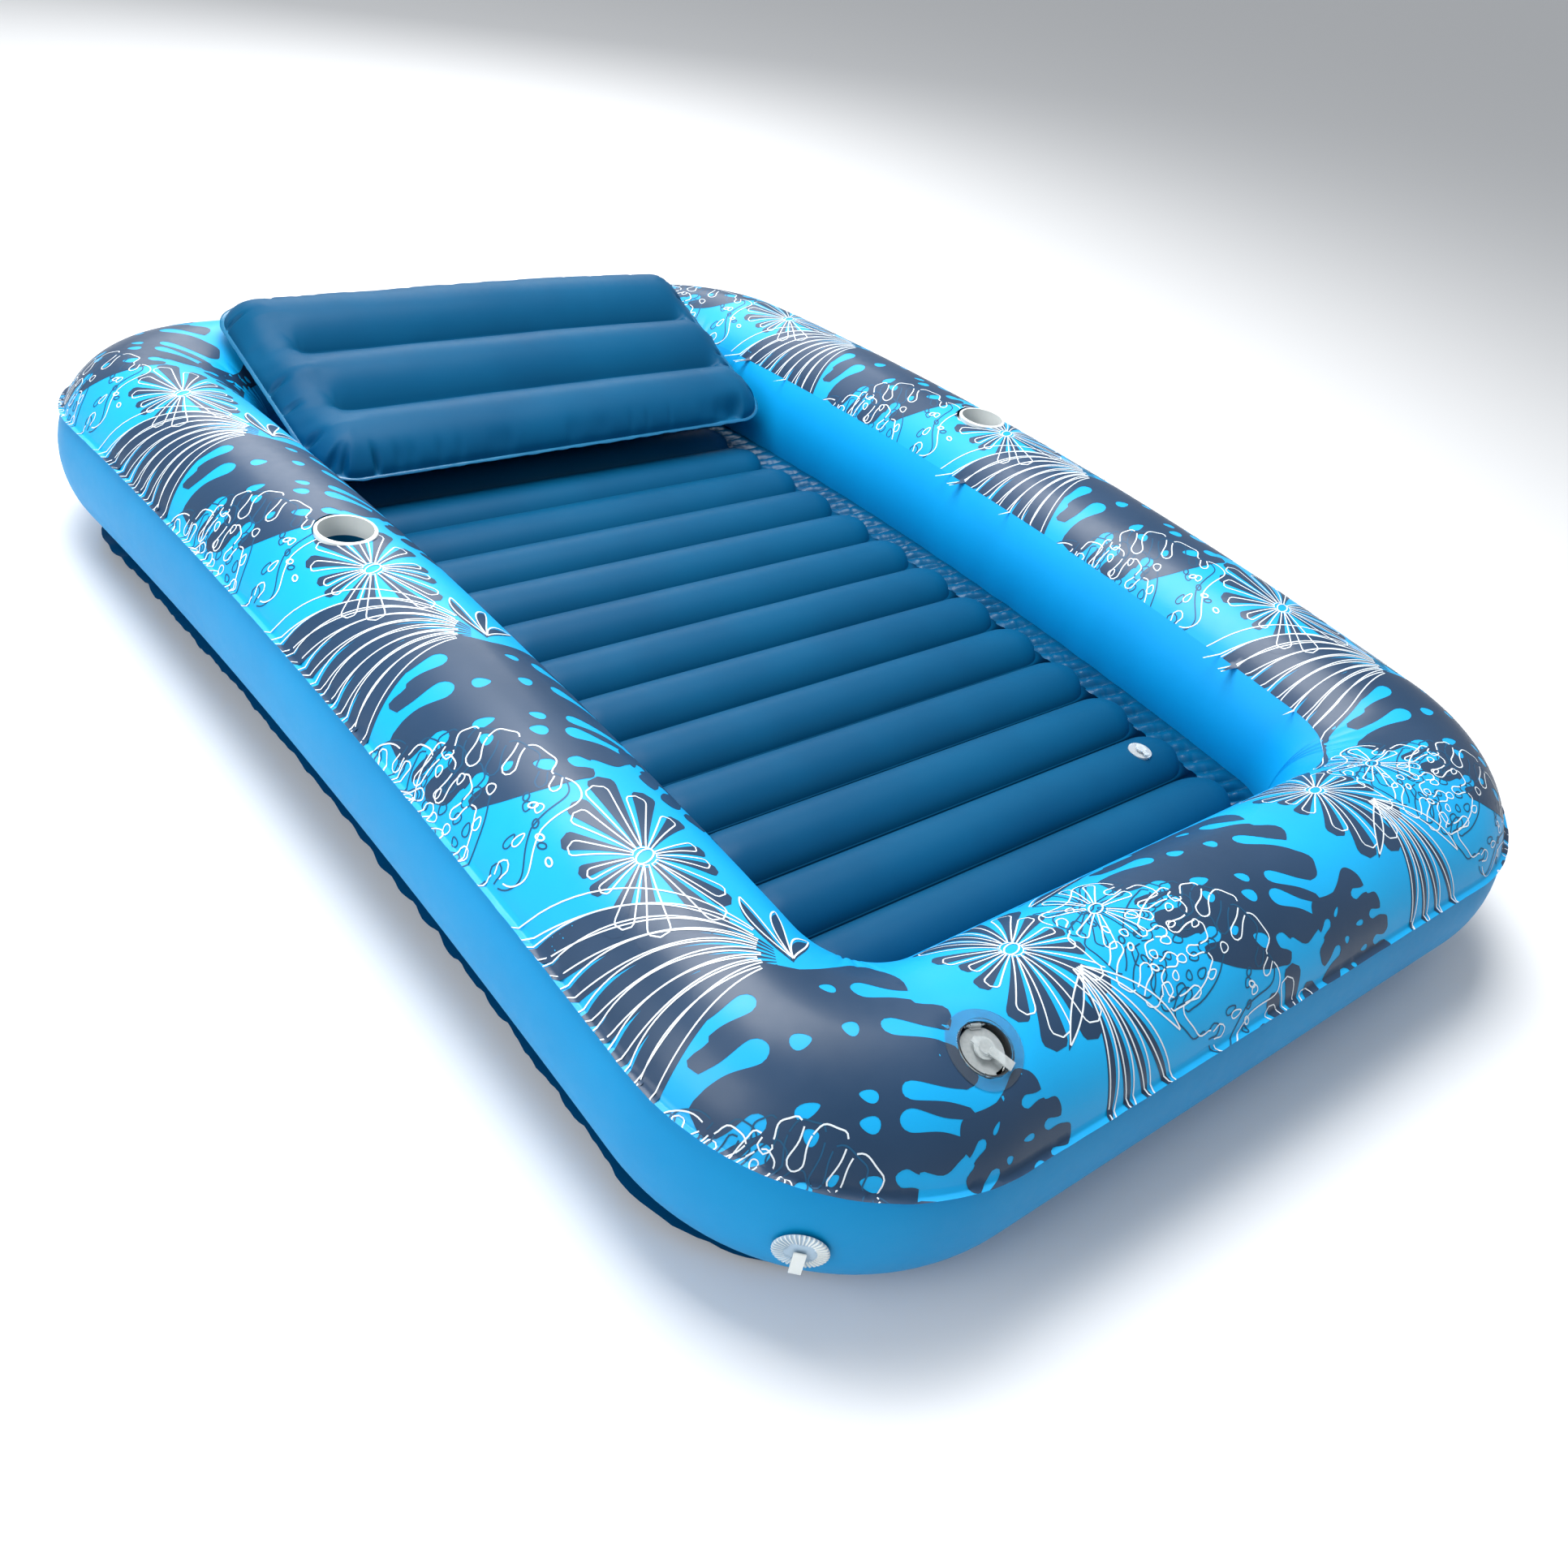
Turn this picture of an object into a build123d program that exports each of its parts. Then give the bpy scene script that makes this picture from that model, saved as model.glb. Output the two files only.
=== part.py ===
"""Inflatable pool float: an inflated ring round a tub with a chambered floor, a pillow, drink holders and valves.

Millimetres. The origin is on the ground under the middle, +Z is up and +Y points to the head end.
The whole float arches lengthwise, so it is drawn flat and carried onto an arc by arch_point.
The long sides follow that arc, and the corners and ends lie in the plane that touches its end.
"""

import os
from math import asin, cos, degrees, radians, sin, sqrt

from build123d import *

os.makedirs("parts", exist_ok=True)

# Overall shape
LENGTH = 2180
WIDTH = 1580
ARCH_RADIUS = 8756
TUBE_RADIUS_X = 155
TUBE_RADIUS_Z = 161
OVAL_CENTRE = 157
SPINE_CORNER = 158
FILM = 3

# Seams of the ring tube, in degrees round its oval from the outside
LOWER_SEAM = -69
OUTER_SEAM = 26
INNER_SEAM = 144
FLOOR_SEAM = 199
TOP_LIP = 8
LOWER_LIP = 12
LIP_FILM = 2

# Floor mattress
CHAMBERS = 14
CHAMBER_PITCH = 107.9
FIRST_WELD = 763
FLOOR_HEIGHT = 95
CHAMBER_RISE = 35
MATTRESS_HALF_WIDTH = 430
WELD_WIDTH = 6
WELD_FILM = 1.5

# Pillow
PILLOW_HALF_WIDTH = 465
PILLOW_LOW_EDGE = (495, 193)
PILLOW_HIGH_EDGE = (915, 350)
PILLOW_CHAMBERS = 3
PILLOW_RISE = 45
PILLOW_SAG = 24
PILLOW_FLANGE = 7
PILLOW_HINGE = (923, 353)
STRIP_HALF_WIDTH = 430

# Drink holders
CUP_Y = 120
CUP_RADIUS = 38
CUP_RIM_RADIUS = 43
CUP_SLEEVE = 28
CUP_DEPTH = 96

# Wide valve on the front tube
VALVE_X = -480
VALVE_ANGLE = 74.8
VALVE_TURN = -108
TAB_TURN = 42
PORT_RADIUS = 31
VALVE_PATCH = 46

# Small valves
FLOOR_VALVE_X = 345
FLOOR_VALVE_CHAMBER = 13
FLOOR_VALVE_TURN = -104
PILLOW_VALVE_X = 300
SMALL_PATCH = 19
STEM_RADIUS = 6.5

# Tie patch
TIE_ANGLE = -5
PATCH_RADIUS = 30
PATCH_RIBS = 36

SPINE_X = WIDTH / 2 - TUBE_RADIUS_X
SPINE_Y = LENGTH / 2 - TUBE_RADIUS_X
STRAIGHT_X = SPINE_X - SPINE_CORNER
STRAIGHT_Y = SPINE_Y - SPINE_CORNER
ARCH_ANGLE = STRAIGHT_Y / ARCH_RADIUS
REST_HALF_WIDTH = TUBE_RADIUS_X * sqrt(1 - (OVAL_CENTRE / TUBE_RADIUS_Z) ** 2)
END_REACH = SPINE_Y + REST_HALF_WIDTH - STRAIGHT_Y
CROWN = ARCH_RADIUS * (1 - cos(ARCH_ANGLE)) + END_REACH * sin(ARCH_ANGLE)


def arch_point(x, y, z):
    """Carries a point of the flat float onto the arch."""
    along = max(-STRAIGHT_Y, min(STRAIGHT_Y, y))
    turn = along / ARCH_RADIUS
    past = y - along
    radius = ARCH_RADIUS + z
    return Vector(
        x,
        radius * sin(turn) + past * cos(turn),
        radius * cos(turn) - ARCH_RADIUS + CROWN - past * sin(turn),
    )


def arch_direction(y, direction):
    """Turns a direction of the flat float by the arch's slope at y."""
    turn = max(-STRAIGHT_Y, min(STRAIGHT_Y, y)) / ARCH_RADIUS
    return Vector(direction).rotate(Axis.X, -degrees(turn))


def arch_yz(y, z):
    """The arch point's place in a sketch on Plane.YZ."""
    point = arch_point(0, y, z)
    return (point.Y, point.Z)


def oval_point(angle, radius_x=TUBE_RADIUS_X, radius_z=TUBE_RADIUS_Z):
    """A point of the tube's oval, outwards from the spine and up from the base."""
    turn = radians(angle)
    return (radius_x * cos(turn), OVAL_CENTRE + radius_z * sin(turn))


SIDE_PLANE = Plane((SPINE_X, 0, CROWN), x_dir=(1, 0, 0), z_dir=(0, -1, 0))
SIDE_AXIS = Axis((0, 0, CROWN - ARCH_RADIUS), (-1, 0, 0))
END_UP = arch_direction(LENGTH, (0, 0, 1))
END_OUT = arch_direction(LENGTH, (0, 1, 0))
CORNER_PLANE = Plane(arch_point(SPINE_X, STRAIGHT_Y, 0), x_dir=(1, 0, 0), z_dir=-END_OUT)
CORNER_AXIS = Axis(arch_point(STRAIGHT_X, STRAIGHT_Y, 0), END_UP)
END_PLANE = Plane(arch_point(STRAIGHT_X, SPINE_Y, 0), x_dir=END_OUT, z_dir=(1, 0, 0))


def keep(piece, name):
    """Labels a finished piece and writes its file."""
    piece.part.label = name
    export_step(piece.part, f"parts/{name}.step")


def film_section(first, last):
    """A band of film round the tube's oval between two seams."""
    with BuildSketch() as section:
        with BuildLine():
            size = last - first
            outer = EllipticalCenterArc(
                (0, OVAL_CENTRE), TUBE_RADIUS_X, TUBE_RADIUS_Z, first, arc_size=size
            )
            inner = EllipticalCenterArc(
                (0, OVAL_CENTRE), TUBE_RADIUS_X - FILM, TUBE_RADIUS_Z - FILM, first, arc_size=size
            )
            Line(outer @ 0, inner @ 0)
            Line(outer @ 1, inner @ 1)
        make_face()
    return section


def base_section():
    """The film under the tube, flat where the float rests."""
    outer_turn = degrees(asin(-OVAL_CENTRE / TUBE_RADIUS_Z))
    inner_turn = degrees(asin((FILM - OVAL_CENTRE) / (TUBE_RADIUS_Z - FILM)))
    with BuildSketch() as section:
        with BuildLine():
            centre = (0, OVAL_CENTRE)
            outer_x, outer_z = TUBE_RADIUS_X, TUBE_RADIUS_Z
            inner_x, inner_z = TUBE_RADIUS_X - FILM, TUBE_RADIUS_Z - FILM
            outer_in = EllipticalCenterArc(
                centre, outer_x, outer_z, FLOOR_SEAM, arc_size=180 - outer_turn - FLOOR_SEAM
            )
            outer_out = EllipticalCenterArc(
                centre, outer_x, outer_z, outer_turn, arc_size=LOWER_SEAM - outer_turn
            )
            inner_in = EllipticalCenterArc(
                centre, inner_x, inner_z, FLOOR_SEAM, arc_size=180 - inner_turn - FLOOR_SEAM
            )
            inner_out = EllipticalCenterArc(
                centre, inner_x, inner_z, inner_turn, arc_size=LOWER_SEAM - inner_turn
            )
            Line(outer_in @ 1, outer_out @ 0)
            Line(inner_in @ 1, inner_out @ 0)
            Line(outer_in @ 0, inner_in @ 0)
            Line(outer_out @ 1, inner_out @ 1)
        make_face()
    return section


def top_section():
    """The printed film with the lip of its outer weld."""
    start = Vector(*oval_point(OUTER_SEAM))
    with BuildSketch() as section:
        add(film_section(OUTER_SEAM, INNER_SEAM))
        with BuildLine():
            Polyline(
                (start.X - 1, start.Y),
                (start.X + TOP_LIP, start.Y),
                (start.X + TOP_LIP, start.Y + LIP_FILM),
                (start.X - 2, start.Y + LIP_FILM),
                close=True,
            )
        make_face()
    return section


def base_section_with_lip():
    """The base film with the lip of its lower weld."""
    start = Vector(*oval_point(LOWER_SEAM))
    with BuildSketch() as section:
        add(base_section())
        with BuildLine():
            Polyline(
                (start.X - 3, start.Y - LIP_FILM),
                (start.X + LOWER_LIP, start.Y - LIP_FILM),
                (start.X + LOWER_LIP, start.Y),
                (start.X - 0.2, start.Y),
                close=True,
            )
        make_face()
    return section


def ring_of(section):
    """Carries a section round a quarter of the arched ring and mirrors it to the whole ring."""
    with BuildPart() as ring:
        with BuildSketch(SIDE_PLANE):
            add(section)
        revolve(axis=SIDE_AXIS, revolution_arc=degrees(ARCH_ANGLE))
        with BuildSketch(CORNER_PLANE):
            add(section)
        revolve(axis=CORNER_AXIS, revolution_arc=90)
        with BuildSketch(END_PLANE):
            add(section)
        extrude(amount=-STRAIGHT_X)
        mirror(about=Plane.YZ)
        mirror(about=Plane.XZ)
    return ring


def turned(plane, angle):
    """The plane turned about its own normal."""
    turn = radians(angle)
    x_dir = plane.x_dir * cos(turn) + plane.y_dir * sin(turn)
    return Plane(plane.origin, x_dir=x_dir, z_dir=plane.z_dir)


def valve_plane():
    """The wide valve's place on the front tube: its x axis runs from the door's hinge to its latch."""
    across, height = oval_point(VALVE_ANGLE)
    turn = radians(VALVE_ANGLE)
    slope = Vector(0, -cos(turn) / TUBE_RADIUS_X, sin(turn) / TUBE_RADIUS_Z)
    origin = arch_point(VALVE_X, -SPINE_Y - across, height)
    plane = Plane(origin, x_dir=(1, 0, 0), z_dir=arch_direction(-LENGTH, slope))
    return turned(plane, VALVE_TURN)


VALVE_PLANE = valve_plane()
CUP_TOP = arch_point(0, CUP_Y, OVAL_CENTRE + TUBE_RADIUS_Z).Z
CUP_PLACES = {"left": (-SPINE_X, CUP_Y, CUP_TOP), "right": (SPINE_X, CUP_Y, CUP_TOP)}


def make_ring():
    """The four films of the ring tube, with holes in the top film for the holders and the valve."""
    top_film = ring_of(top_section())
    with BuildPart() as ring_top_panel:
        add(top_film)
        with Locations(*CUP_PLACES.values()):
            Cylinder(CUP_RIM_RADIUS, 60, mode=Mode.SUBTRACT)
        with Locations(VALVE_PLANE):
            Cylinder(VALVE_PATCH, 60, mode=Mode.SUBTRACT)
    keep(ring_top_panel, "ring_top_panel")
    ring_outer_wall = ring_of(film_section(LOWER_SEAM, OUTER_SEAM))
    keep(ring_outer_wall, "ring_outer_wall")
    ring_inner_wall = ring_of(film_section(INNER_SEAM, FLOOR_SEAM))
    keep(ring_inner_wall, "ring_inner_wall")
    ring_base_panel = ring_of(base_section_with_lip())
    keep(ring_base_panel, "ring_base_panel")
    return top_film


def make_cup(side):
    """A drink holder: the rim with its short sleeve, and the film well under it."""
    plane = Plane(CUP_PLACES[side], x_dir=(1, 0, 0), z_dir=(0, -1, 0))
    axis = Axis(CUP_PLACES[side], (0, 0, 1))
    with BuildPart() as cup_ring:
        with BuildSketch(plane):
            with BuildLine():
                Polyline(
                    (CUP_RADIUS, -CUP_SLEEVE),
                    (CUP_RADIUS + 2, -CUP_SLEEVE),
                    (CUP_RADIUS + 2, -7),
                    (CUP_RIM_RADIUS, -7),
                    (CUP_RIM_RADIUS, 0.5),
                    (CUP_RIM_RADIUS - 1.5, 2),
                    (CUP_RADIUS, 2),
                    close=True,
                )
            make_face()
        revolve(axis=axis)
    with BuildPart() as cup_well:
        with BuildSketch(plane):
            with BuildLine():
                Polyline(
                    (0, -CUP_DEPTH - 2),
                    (CUP_RADIUS + 2, -CUP_DEPTH - 2),
                    (CUP_RADIUS + 2, -CUP_SLEEVE),
                    (CUP_RADIUS, -CUP_SLEEVE),
                    (CUP_RADIUS, -CUP_DEPTH),
                    (0, -CUP_DEPTH),
                    close=True,
                )
            make_face()
        revolve(axis=axis)
    return cup_ring, cup_well


def weld_positions():
    """The mattress's weld lines, from the head end to the front."""
    return [FIRST_WELD - step * CHAMBER_PITCH for step in range(CHAMBERS + 1)]


def make_floor_sheet(side):
    """A sheet of the mattress, rippled into half chambers: side is 1 for the top one and -1 for the bottom one."""
    welds = weld_positions()
    half = WELD_WIDTH / 2
    weld_height = FLOOR_HEIGHT + side * WELD_FILM
    crest = FLOOR_HEIGHT + side * CHAMBER_RISE
    with BuildPart() as sheet:
        with BuildSketch(Plane.YZ):
            with BuildLine():
                for rear, front in zip(welds, welds[1:]):
                    middle = (rear + front) / 2
                    ThreePointArc(
                        arch_yz(rear - half, weld_height),
                        arch_yz(middle, crest),
                        arch_yz(front + half, weld_height),
                    )
                    Line(arch_yz(rear - half, FLOOR_HEIGHT), arch_yz(front + half, FLOOR_HEIGHT))
                for weld in welds[1:-1]:
                    Line(arch_yz(weld + half, weld_height), arch_yz(weld - half, weld_height))
                    Line(arch_yz(weld + half, FLOOR_HEIGHT), arch_yz(weld - half, FLOOR_HEIGHT))
                for end in (welds[0] - half, welds[-1] + half):
                    Line(arch_yz(end, FLOOR_HEIGHT), arch_yz(end, weld_height))
            make_face()
        extrude(amount=MATTRESS_HALF_WIDTH, both=True)
        with BuildSketch(Plane.YZ):
            for rear, front in zip(welds, welds[1:]):
                with BuildLine():
                    air = ThreePointArc(
                        arch_yz(rear - WELD_WIDTH, FLOOR_HEIGHT),
                        arch_yz((rear + front) / 2, crest - side * FILM),
                        arch_yz(front + WELD_WIDTH, FLOOR_HEIGHT),
                    )
                    Line(air @ 0, air @ 1)
                make_face()
        extrude(amount=MATTRESS_HALF_WIDTH - FILM, both=True, mode=Mode.SUBTRACT)
    return sheet


def make_floor_gusset():
    """The strip that closes the gap between the mattress and the inner wall, drawn without its gathers."""
    welds = weld_positions()
    across = TUBE_RADIUS_X * cos(asin((OVAL_CENTRE - FLOOR_HEIGHT) / TUBE_RADIUS_Z)) + 1
    half_x = SPINE_X - across
    half_y = arch_point(0, SPINE_Y - across, FLOOR_HEIGHT).Y
    rear = arch_point(0, welds[0] - WELD_WIDTH / 2, FLOOR_HEIGHT).Y
    front = arch_point(0, welds[-1] + WELD_WIDTH / 2, FLOOR_HEIGHT).Y
    with BuildPart() as floor_gusset:
        with BuildSketch(Plane.YZ):
            with BuildLine():
                reach = STRAIGHT_Y + 20
                ThreePointArc(*[arch_yz(y, FLOOR_HEIGHT - 1.5) for y in (-reach, 0, reach)])
                ThreePointArc(*[arch_yz(y, FLOOR_HEIGHT + 1.5) for y in (-reach, 0, reach)])
                for end in (-reach, reach):
                    Line(arch_yz(end, FLOOR_HEIGHT - 1.5), arch_yz(end, FLOOR_HEIGHT + 1.5))
            make_face()
        extrude(amount=SPINE_X, both=True)
        with BuildSketch(Plane.XY):
            RectangleRounded(2 * half_x, 2 * half_y, SPINE_CORNER - across)
        extrude(amount=LENGTH, mode=Mode.INTERSECT)
        with BuildSketch(Plane.XY):
            with Locations((0, (rear + front) / 2)):
                Rectangle(2 * MATTRESS_HALF_WIDTH, rear - front + 1)
        extrude(amount=LENGTH, mode=Mode.SUBTRACT)
    return floor_gusset


def pillow_plane():
    """The pillow's weld plane: x runs up the slope from the low edge and y stands off its top side."""
    low = arch_point(0, *PILLOW_LOW_EDGE)
    high = arch_point(0, *PILLOW_HIGH_EDGE)
    return Plane(low, x_dir=(high - low), z_dir=(1, 0, 0)), (high - low).length


def make_pillow():
    """The pillow's two sheets, rippled into three chambers, with the weld flange on the lower one."""
    plane, reach = pillow_plane()
    pitch = reach / PILLOW_CHAMBERS
    half = WELD_WIDTH / 2
    sheets = {}
    for name, side, rise in (("pillow_top_sheet", 1, PILLOW_RISE), ("pillow_bottom_sheet", -1, PILLOW_SAG)):
        with BuildPart() as sheet:
            with BuildSketch(plane):
                for chamber in range(PILLOW_CHAMBERS):
                    start, end = chamber * pitch, (chamber + 1) * pitch
                    with BuildLine():
                        Polyline(
                            (start + half, side * WELD_FILM),
                            (start, side * WELD_FILM),
                            (start, 0),
                            (end, 0),
                            (end, side * WELD_FILM),
                            (end - half, side * WELD_FILM),
                        )
                        ThreePointArc(
                            (end - half, side * WELD_FILM),
                            ((start + end) / 2, side * rise),
                            (start + half, side * WELD_FILM),
                        )
                    make_face()
            extrude(amount=PILLOW_HALF_WIDTH, both=True)
            if side < 0:
                with BuildSketch(plane):
                    with Locations((reach / 2, -WELD_FILM / 2)):
                        Rectangle(reach + 2 * PILLOW_FLANGE, WELD_FILM)
                extrude(amount=PILLOW_HALF_WIDTH + PILLOW_FLANGE, both=True)
            with BuildSketch(plane):
                for chamber in range(PILLOW_CHAMBERS):
                    start, end = chamber * pitch + WELD_WIDTH, (chamber + 1) * pitch - WELD_WIDTH
                    with BuildLine():
                        air = ThreePointArc(
                            (start, 0), ((start + end) / 2, side * (rise - FILM)), (end, 0)
                        )
                        Line(air @ 0, air @ 1)
                    make_face()
            extrude(amount=PILLOW_HALF_WIDTH - FILM, both=True, mode=Mode.SUBTRACT)
        sheets[name] = sheet
    return sheets


def make_pillow_strip():
    """The strip welded along the head tube's top, which holds the pillow's rear edge."""
    hinge_y, hinge_z = PILLOW_HINGE
    crown = OVAL_CENTRE + TUBE_RADIUS_Z
    with BuildPart() as pillow_hinge_strip:
        with BuildSketch(Plane.YZ):
            with BuildLine():
                Polyline(
                    arch_yz(hinge_y + 1, crown + 0.3),
                    arch_yz(hinge_y + 1, hinge_z),
                    arch_yz(hinge_y + 3, hinge_z),
                    arch_yz(hinge_y + 3, crown + 2.3),
                    arch_yz(hinge_y + 32, crown + 2.3),
                    arch_yz(hinge_y + 32, crown + 0.3),
                    close=True,
                )
            make_face()
        extrude(amount=STRIP_HALF_WIDTH, both=True)
    return pillow_hinge_strip


def make_wide_valve(top_film):
    """The wide valve: its welded patch and port, the door with its pin, the plug and the check flap."""
    with BuildPart() as patch_film:
        with Locations(VALVE_PLANE):
            Cylinder(VALVE_PATCH, 60)
            Cylinder(PORT_RADIUS, 60, mode=Mode.SUBTRACT)
        add(top_film, mode=Mode.INTERSECT)
    pin_place = (-PORT_RADIUS + 3.7, 0, -6)
    with BuildPart() as ring_valve_flange:
        with Locations(VALVE_PLANE):
            with Locations((0, 0, -9)):
                Cylinder(PORT_RADIUS + 2, 19)
                Cylinder(PORT_RADIUS, 21, mode=Mode.SUBTRACT)
            with Locations((-PORT_RADIUS + 2.2, 9, -7), (-PORT_RADIUS + 2.2, -9, -7)):
                Box(6, 3, 8)
            with Locations(pin_place):
                Cylinder(1, 40, rotation=(90, 0, 0), mode=Mode.SUBTRACT)
        add(patch_film)
    keep(ring_valve_flange, "ring_valve_flange")
    with BuildPart(VALVE_PLANE) as ring_valve_hinge_pin:
        with Locations(pin_place):
            Cylinder(0.98, 21, rotation=(90, 0, 0))
    keep(ring_valve_hinge_pin, "ring_valve_hinge_pin")
    with BuildPart(VALVE_PLANE) as ring_valve_door:
        with Locations((0, 0, -9)):
            Cylinder(PORT_RADIUS - 4.5, 2)
            Cylinder(10, 2)
        with Locations((0, 0, -8)):
            Cylinder(10, 8)
            Cylinder(8, 10, mode=Mode.SUBTRACT)
        with Locations((-25.5, 0, -8)):
            Box(5, 13, 3)
        with Locations(pin_place):
            Cylinder(2.4, 13, rotation=(90, 0, 0))
            Cylinder(1.05, 20, rotation=(90, 0, 0), mode=Mode.SUBTRACT)
        with Locations((26.5, 0, -8)):
            Box(4, 12, 2)
    keep(ring_valve_door, "ring_valve_door")
    tab_plane = turned(VALVE_PLANE, TAB_TURN)
    with BuildPart(tab_plane) as ring_valve_plug:
        with Locations((0, 0, -2.7)):
            Cylinder(13, 2)
        with Locations((0, 0, -0.3)):
            Cylinder(8.5, 2.8)
        with Locations((0, 0, -5.5)):
            Cone(6.6, 7.2, 5)
        with Locations((19, 0, 1.6)):
            Box(30, 12, 1.4)
        with Locations((-14, 0, -2.7)):
            Box(5, 9, 2)
    keep(ring_valve_plug, "ring_valve_plug")
    with BuildPart(VALVE_PLANE) as ring_valve_flap:
        with Locations((0, 0, -13.2)):
            Cylinder(9.5, 0.8)
        with Locations((-10, 0, -13.2)):
            Box(4, 6, 0.8)
    keep(ring_valve_flap, "ring_valve_flap")


def make_small_valve(plane, prefix):
    """A small push-in valve: patch, sliding stem, cap with its tab, and check flap."""
    with BuildPart(plane) as patch:
        with Locations((0, 0, -1)):
            Cylinder(SMALL_PATCH, 3)
        with Locations((0, 0, -2)):
            Cylinder(STEM_RADIUS + 2, 5)
        with Locations((0, 0, 0)):
            Cylinder(STEM_RADIUS + 0.05, 20, mode=Mode.SUBTRACT)
    keep(patch, f"{prefix}_flange")
    with BuildPart(plane) as stem:
        with Locations((0, 0, -6)):
            Cylinder(STEM_RADIUS, 20)
        with Locations((0, 0, 2.5)):
            Cylinder(STEM_RADIUS + 1, 1.6)
        with Locations((0, 0, -15.5)):
            Cylinder(STEM_RADIUS + 1, 1.6)
        with Locations((0, 0, -6)):
            Cylinder(STEM_RADIUS - 1.3, 30, mode=Mode.SUBTRACT)
    keep(stem, f"{prefix}_stem")
    with BuildPart(plane) as cap:
        with Locations((0, 0, 5.1)):
            Cylinder(8.5, 2)
        with Locations((0, 0, 2.6)):
            Cone(3.6, 4.2, 3)
        with Locations((12, 0, 5)):
            Box(10, 7, 1.2)
        with Locations((-9, 0, 5)):
            Box(3, 5, 1.6)
    keep(cap, f"{prefix}_cap")
    with BuildPart(plane) as flap:
        with Locations((0, 0, -16.9)):
            Cylinder(6, 0.6)
        with Locations((-6.4, 0, -16.9)):
            Box(2, 4, 0.6)
    keep(flap, f"{prefix}_flap")


def floor_valve_plane():
    """The floor valve's place on the crest of its chamber."""
    welds = weld_positions()
    y = (welds[FLOOR_VALVE_CHAMBER - 1] + welds[FLOOR_VALVE_CHAMBER]) / 2
    origin = arch_point(FLOOR_VALVE_X, y, FLOOR_HEIGHT + CHAMBER_RISE)
    plane = Plane(origin, x_dir=(1, 0, 0), z_dir=arch_direction(y, (0, 0, 1)))
    return turned(plane, FLOOR_VALVE_TURN)


def pillow_valve_plane():
    """The pillow valve's place under the middle chamber, facing down."""
    plane, reach = pillow_plane()
    origin = plane.from_local_coords((reach / 2, -PILLOW_SAG, PILLOW_VALVE_X))
    return Plane(origin, x_dir=(1, 0, 0), z_dir=-plane.y_dir)


def tie_plane():
    """The tie patch's place on the near front corner: z faces outwards and x points down the wall."""
    across, height = oval_point(TIE_ANGLE)
    turn = radians(TIE_ANGLE)
    reach = (SPINE_CORNER + across) * sin(radians(45))
    origin = arch_point(-STRAIGHT_X - reach, -STRAIGHT_Y - reach, height)
    side = cos(turn) * sin(radians(45)) / TUBE_RADIUS_X
    outwards = arch_direction(-LENGTH, (-side, -side, sin(turn) / TUBE_RADIUS_Z))
    down = arch_direction(-LENGTH, (0, 0, -1))
    return Plane(origin, x_dir=down, z_dir=outwards)


def make_tie():
    """The ribbed patch welded to the corner and the folded strap that hangs from its middle."""
    plane = tie_plane()
    with BuildPart(plane) as tie_patch:
        with Locations((0, 0, 4.3)):
            Cylinder(PATCH_RADIUS, 1.6)
        with Locations((0, 0, 5.4)):
            Cylinder(PATCH_RADIUS / 2, 1.4)
        with PolarLocations(PATCH_RADIUS * 0.72, PATCH_RIBS):
            with Locations((0, 0, 5.4)):
                Box(PATCH_RADIUS / 2, 1.6, 1.4)
    keep(tie_patch, "tie_patch")
    with BuildPart(plane) as tie_strap:
        with Locations((12, 0, 8)):
            Box(30, 12, 1.5)
        with Locations((12, 0, 10.7)):
            Box(30, 12, 1.5)
        with Locations((26.25, 0, 9.35)):
            Box(1.5, 12, 4.2)
        with Locations((-2.25, 0, 9.35)):
            Box(1.5, 12, 4.2)
    keep(tie_strap, "tie_strap")


def make_floor():
    """The mattress with its valve, and the gathered strip round it."""
    plane = floor_valve_plane()
    top_sheet = make_floor_sheet(1)
    with BuildPart() as floor_top_sheet:
        add(top_sheet)
        with Locations(plane):
            Cylinder(SMALL_PATCH, 30, mode=Mode.SUBTRACT)
    keep(floor_top_sheet, "floor_top_sheet")
    keep(make_floor_sheet(-1), "floor_bottom_sheet")
    keep(make_floor_gusset(), "floor_gusset")
    make_small_valve(plane, "floor_valve")


def make_head():
    """The pillow with its valve and hinge strip."""
    plane = pillow_valve_plane()
    sheets = make_pillow()
    keep(sheets["pillow_top_sheet"], "pillow_top_sheet")
    with BuildPart() as pillow_bottom_sheet:
        add(sheets["pillow_bottom_sheet"])
        with Locations(plane):
            Cylinder(SMALL_PATCH, 12, mode=Mode.SUBTRACT)
    keep(pillow_bottom_sheet, "pillow_bottom_sheet")
    keep(make_pillow_strip(), "pillow_hinge_strip")
    make_small_valve(plane, "pillow_valve")


ring_film = make_ring()
for cup_side in CUP_PLACES:
    ring_piece, well_piece = make_cup(cup_side)
    keep(ring_piece, f"cup_ring_{cup_side}")
    keep(well_piece, f"cup_well_{cup_side}")
make_wide_valve(ring_film)
make_floor()
make_head()
make_tie()
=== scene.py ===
"""Inflatable pool float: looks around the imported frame. Lengths are in millimetres until a mesh is made."""

import itertools
import math
import random

import bpy
import numpy as np
from mathutils import Matrix, Vector
from mathutils.geometry import delaunay_2d_cdt


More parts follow.
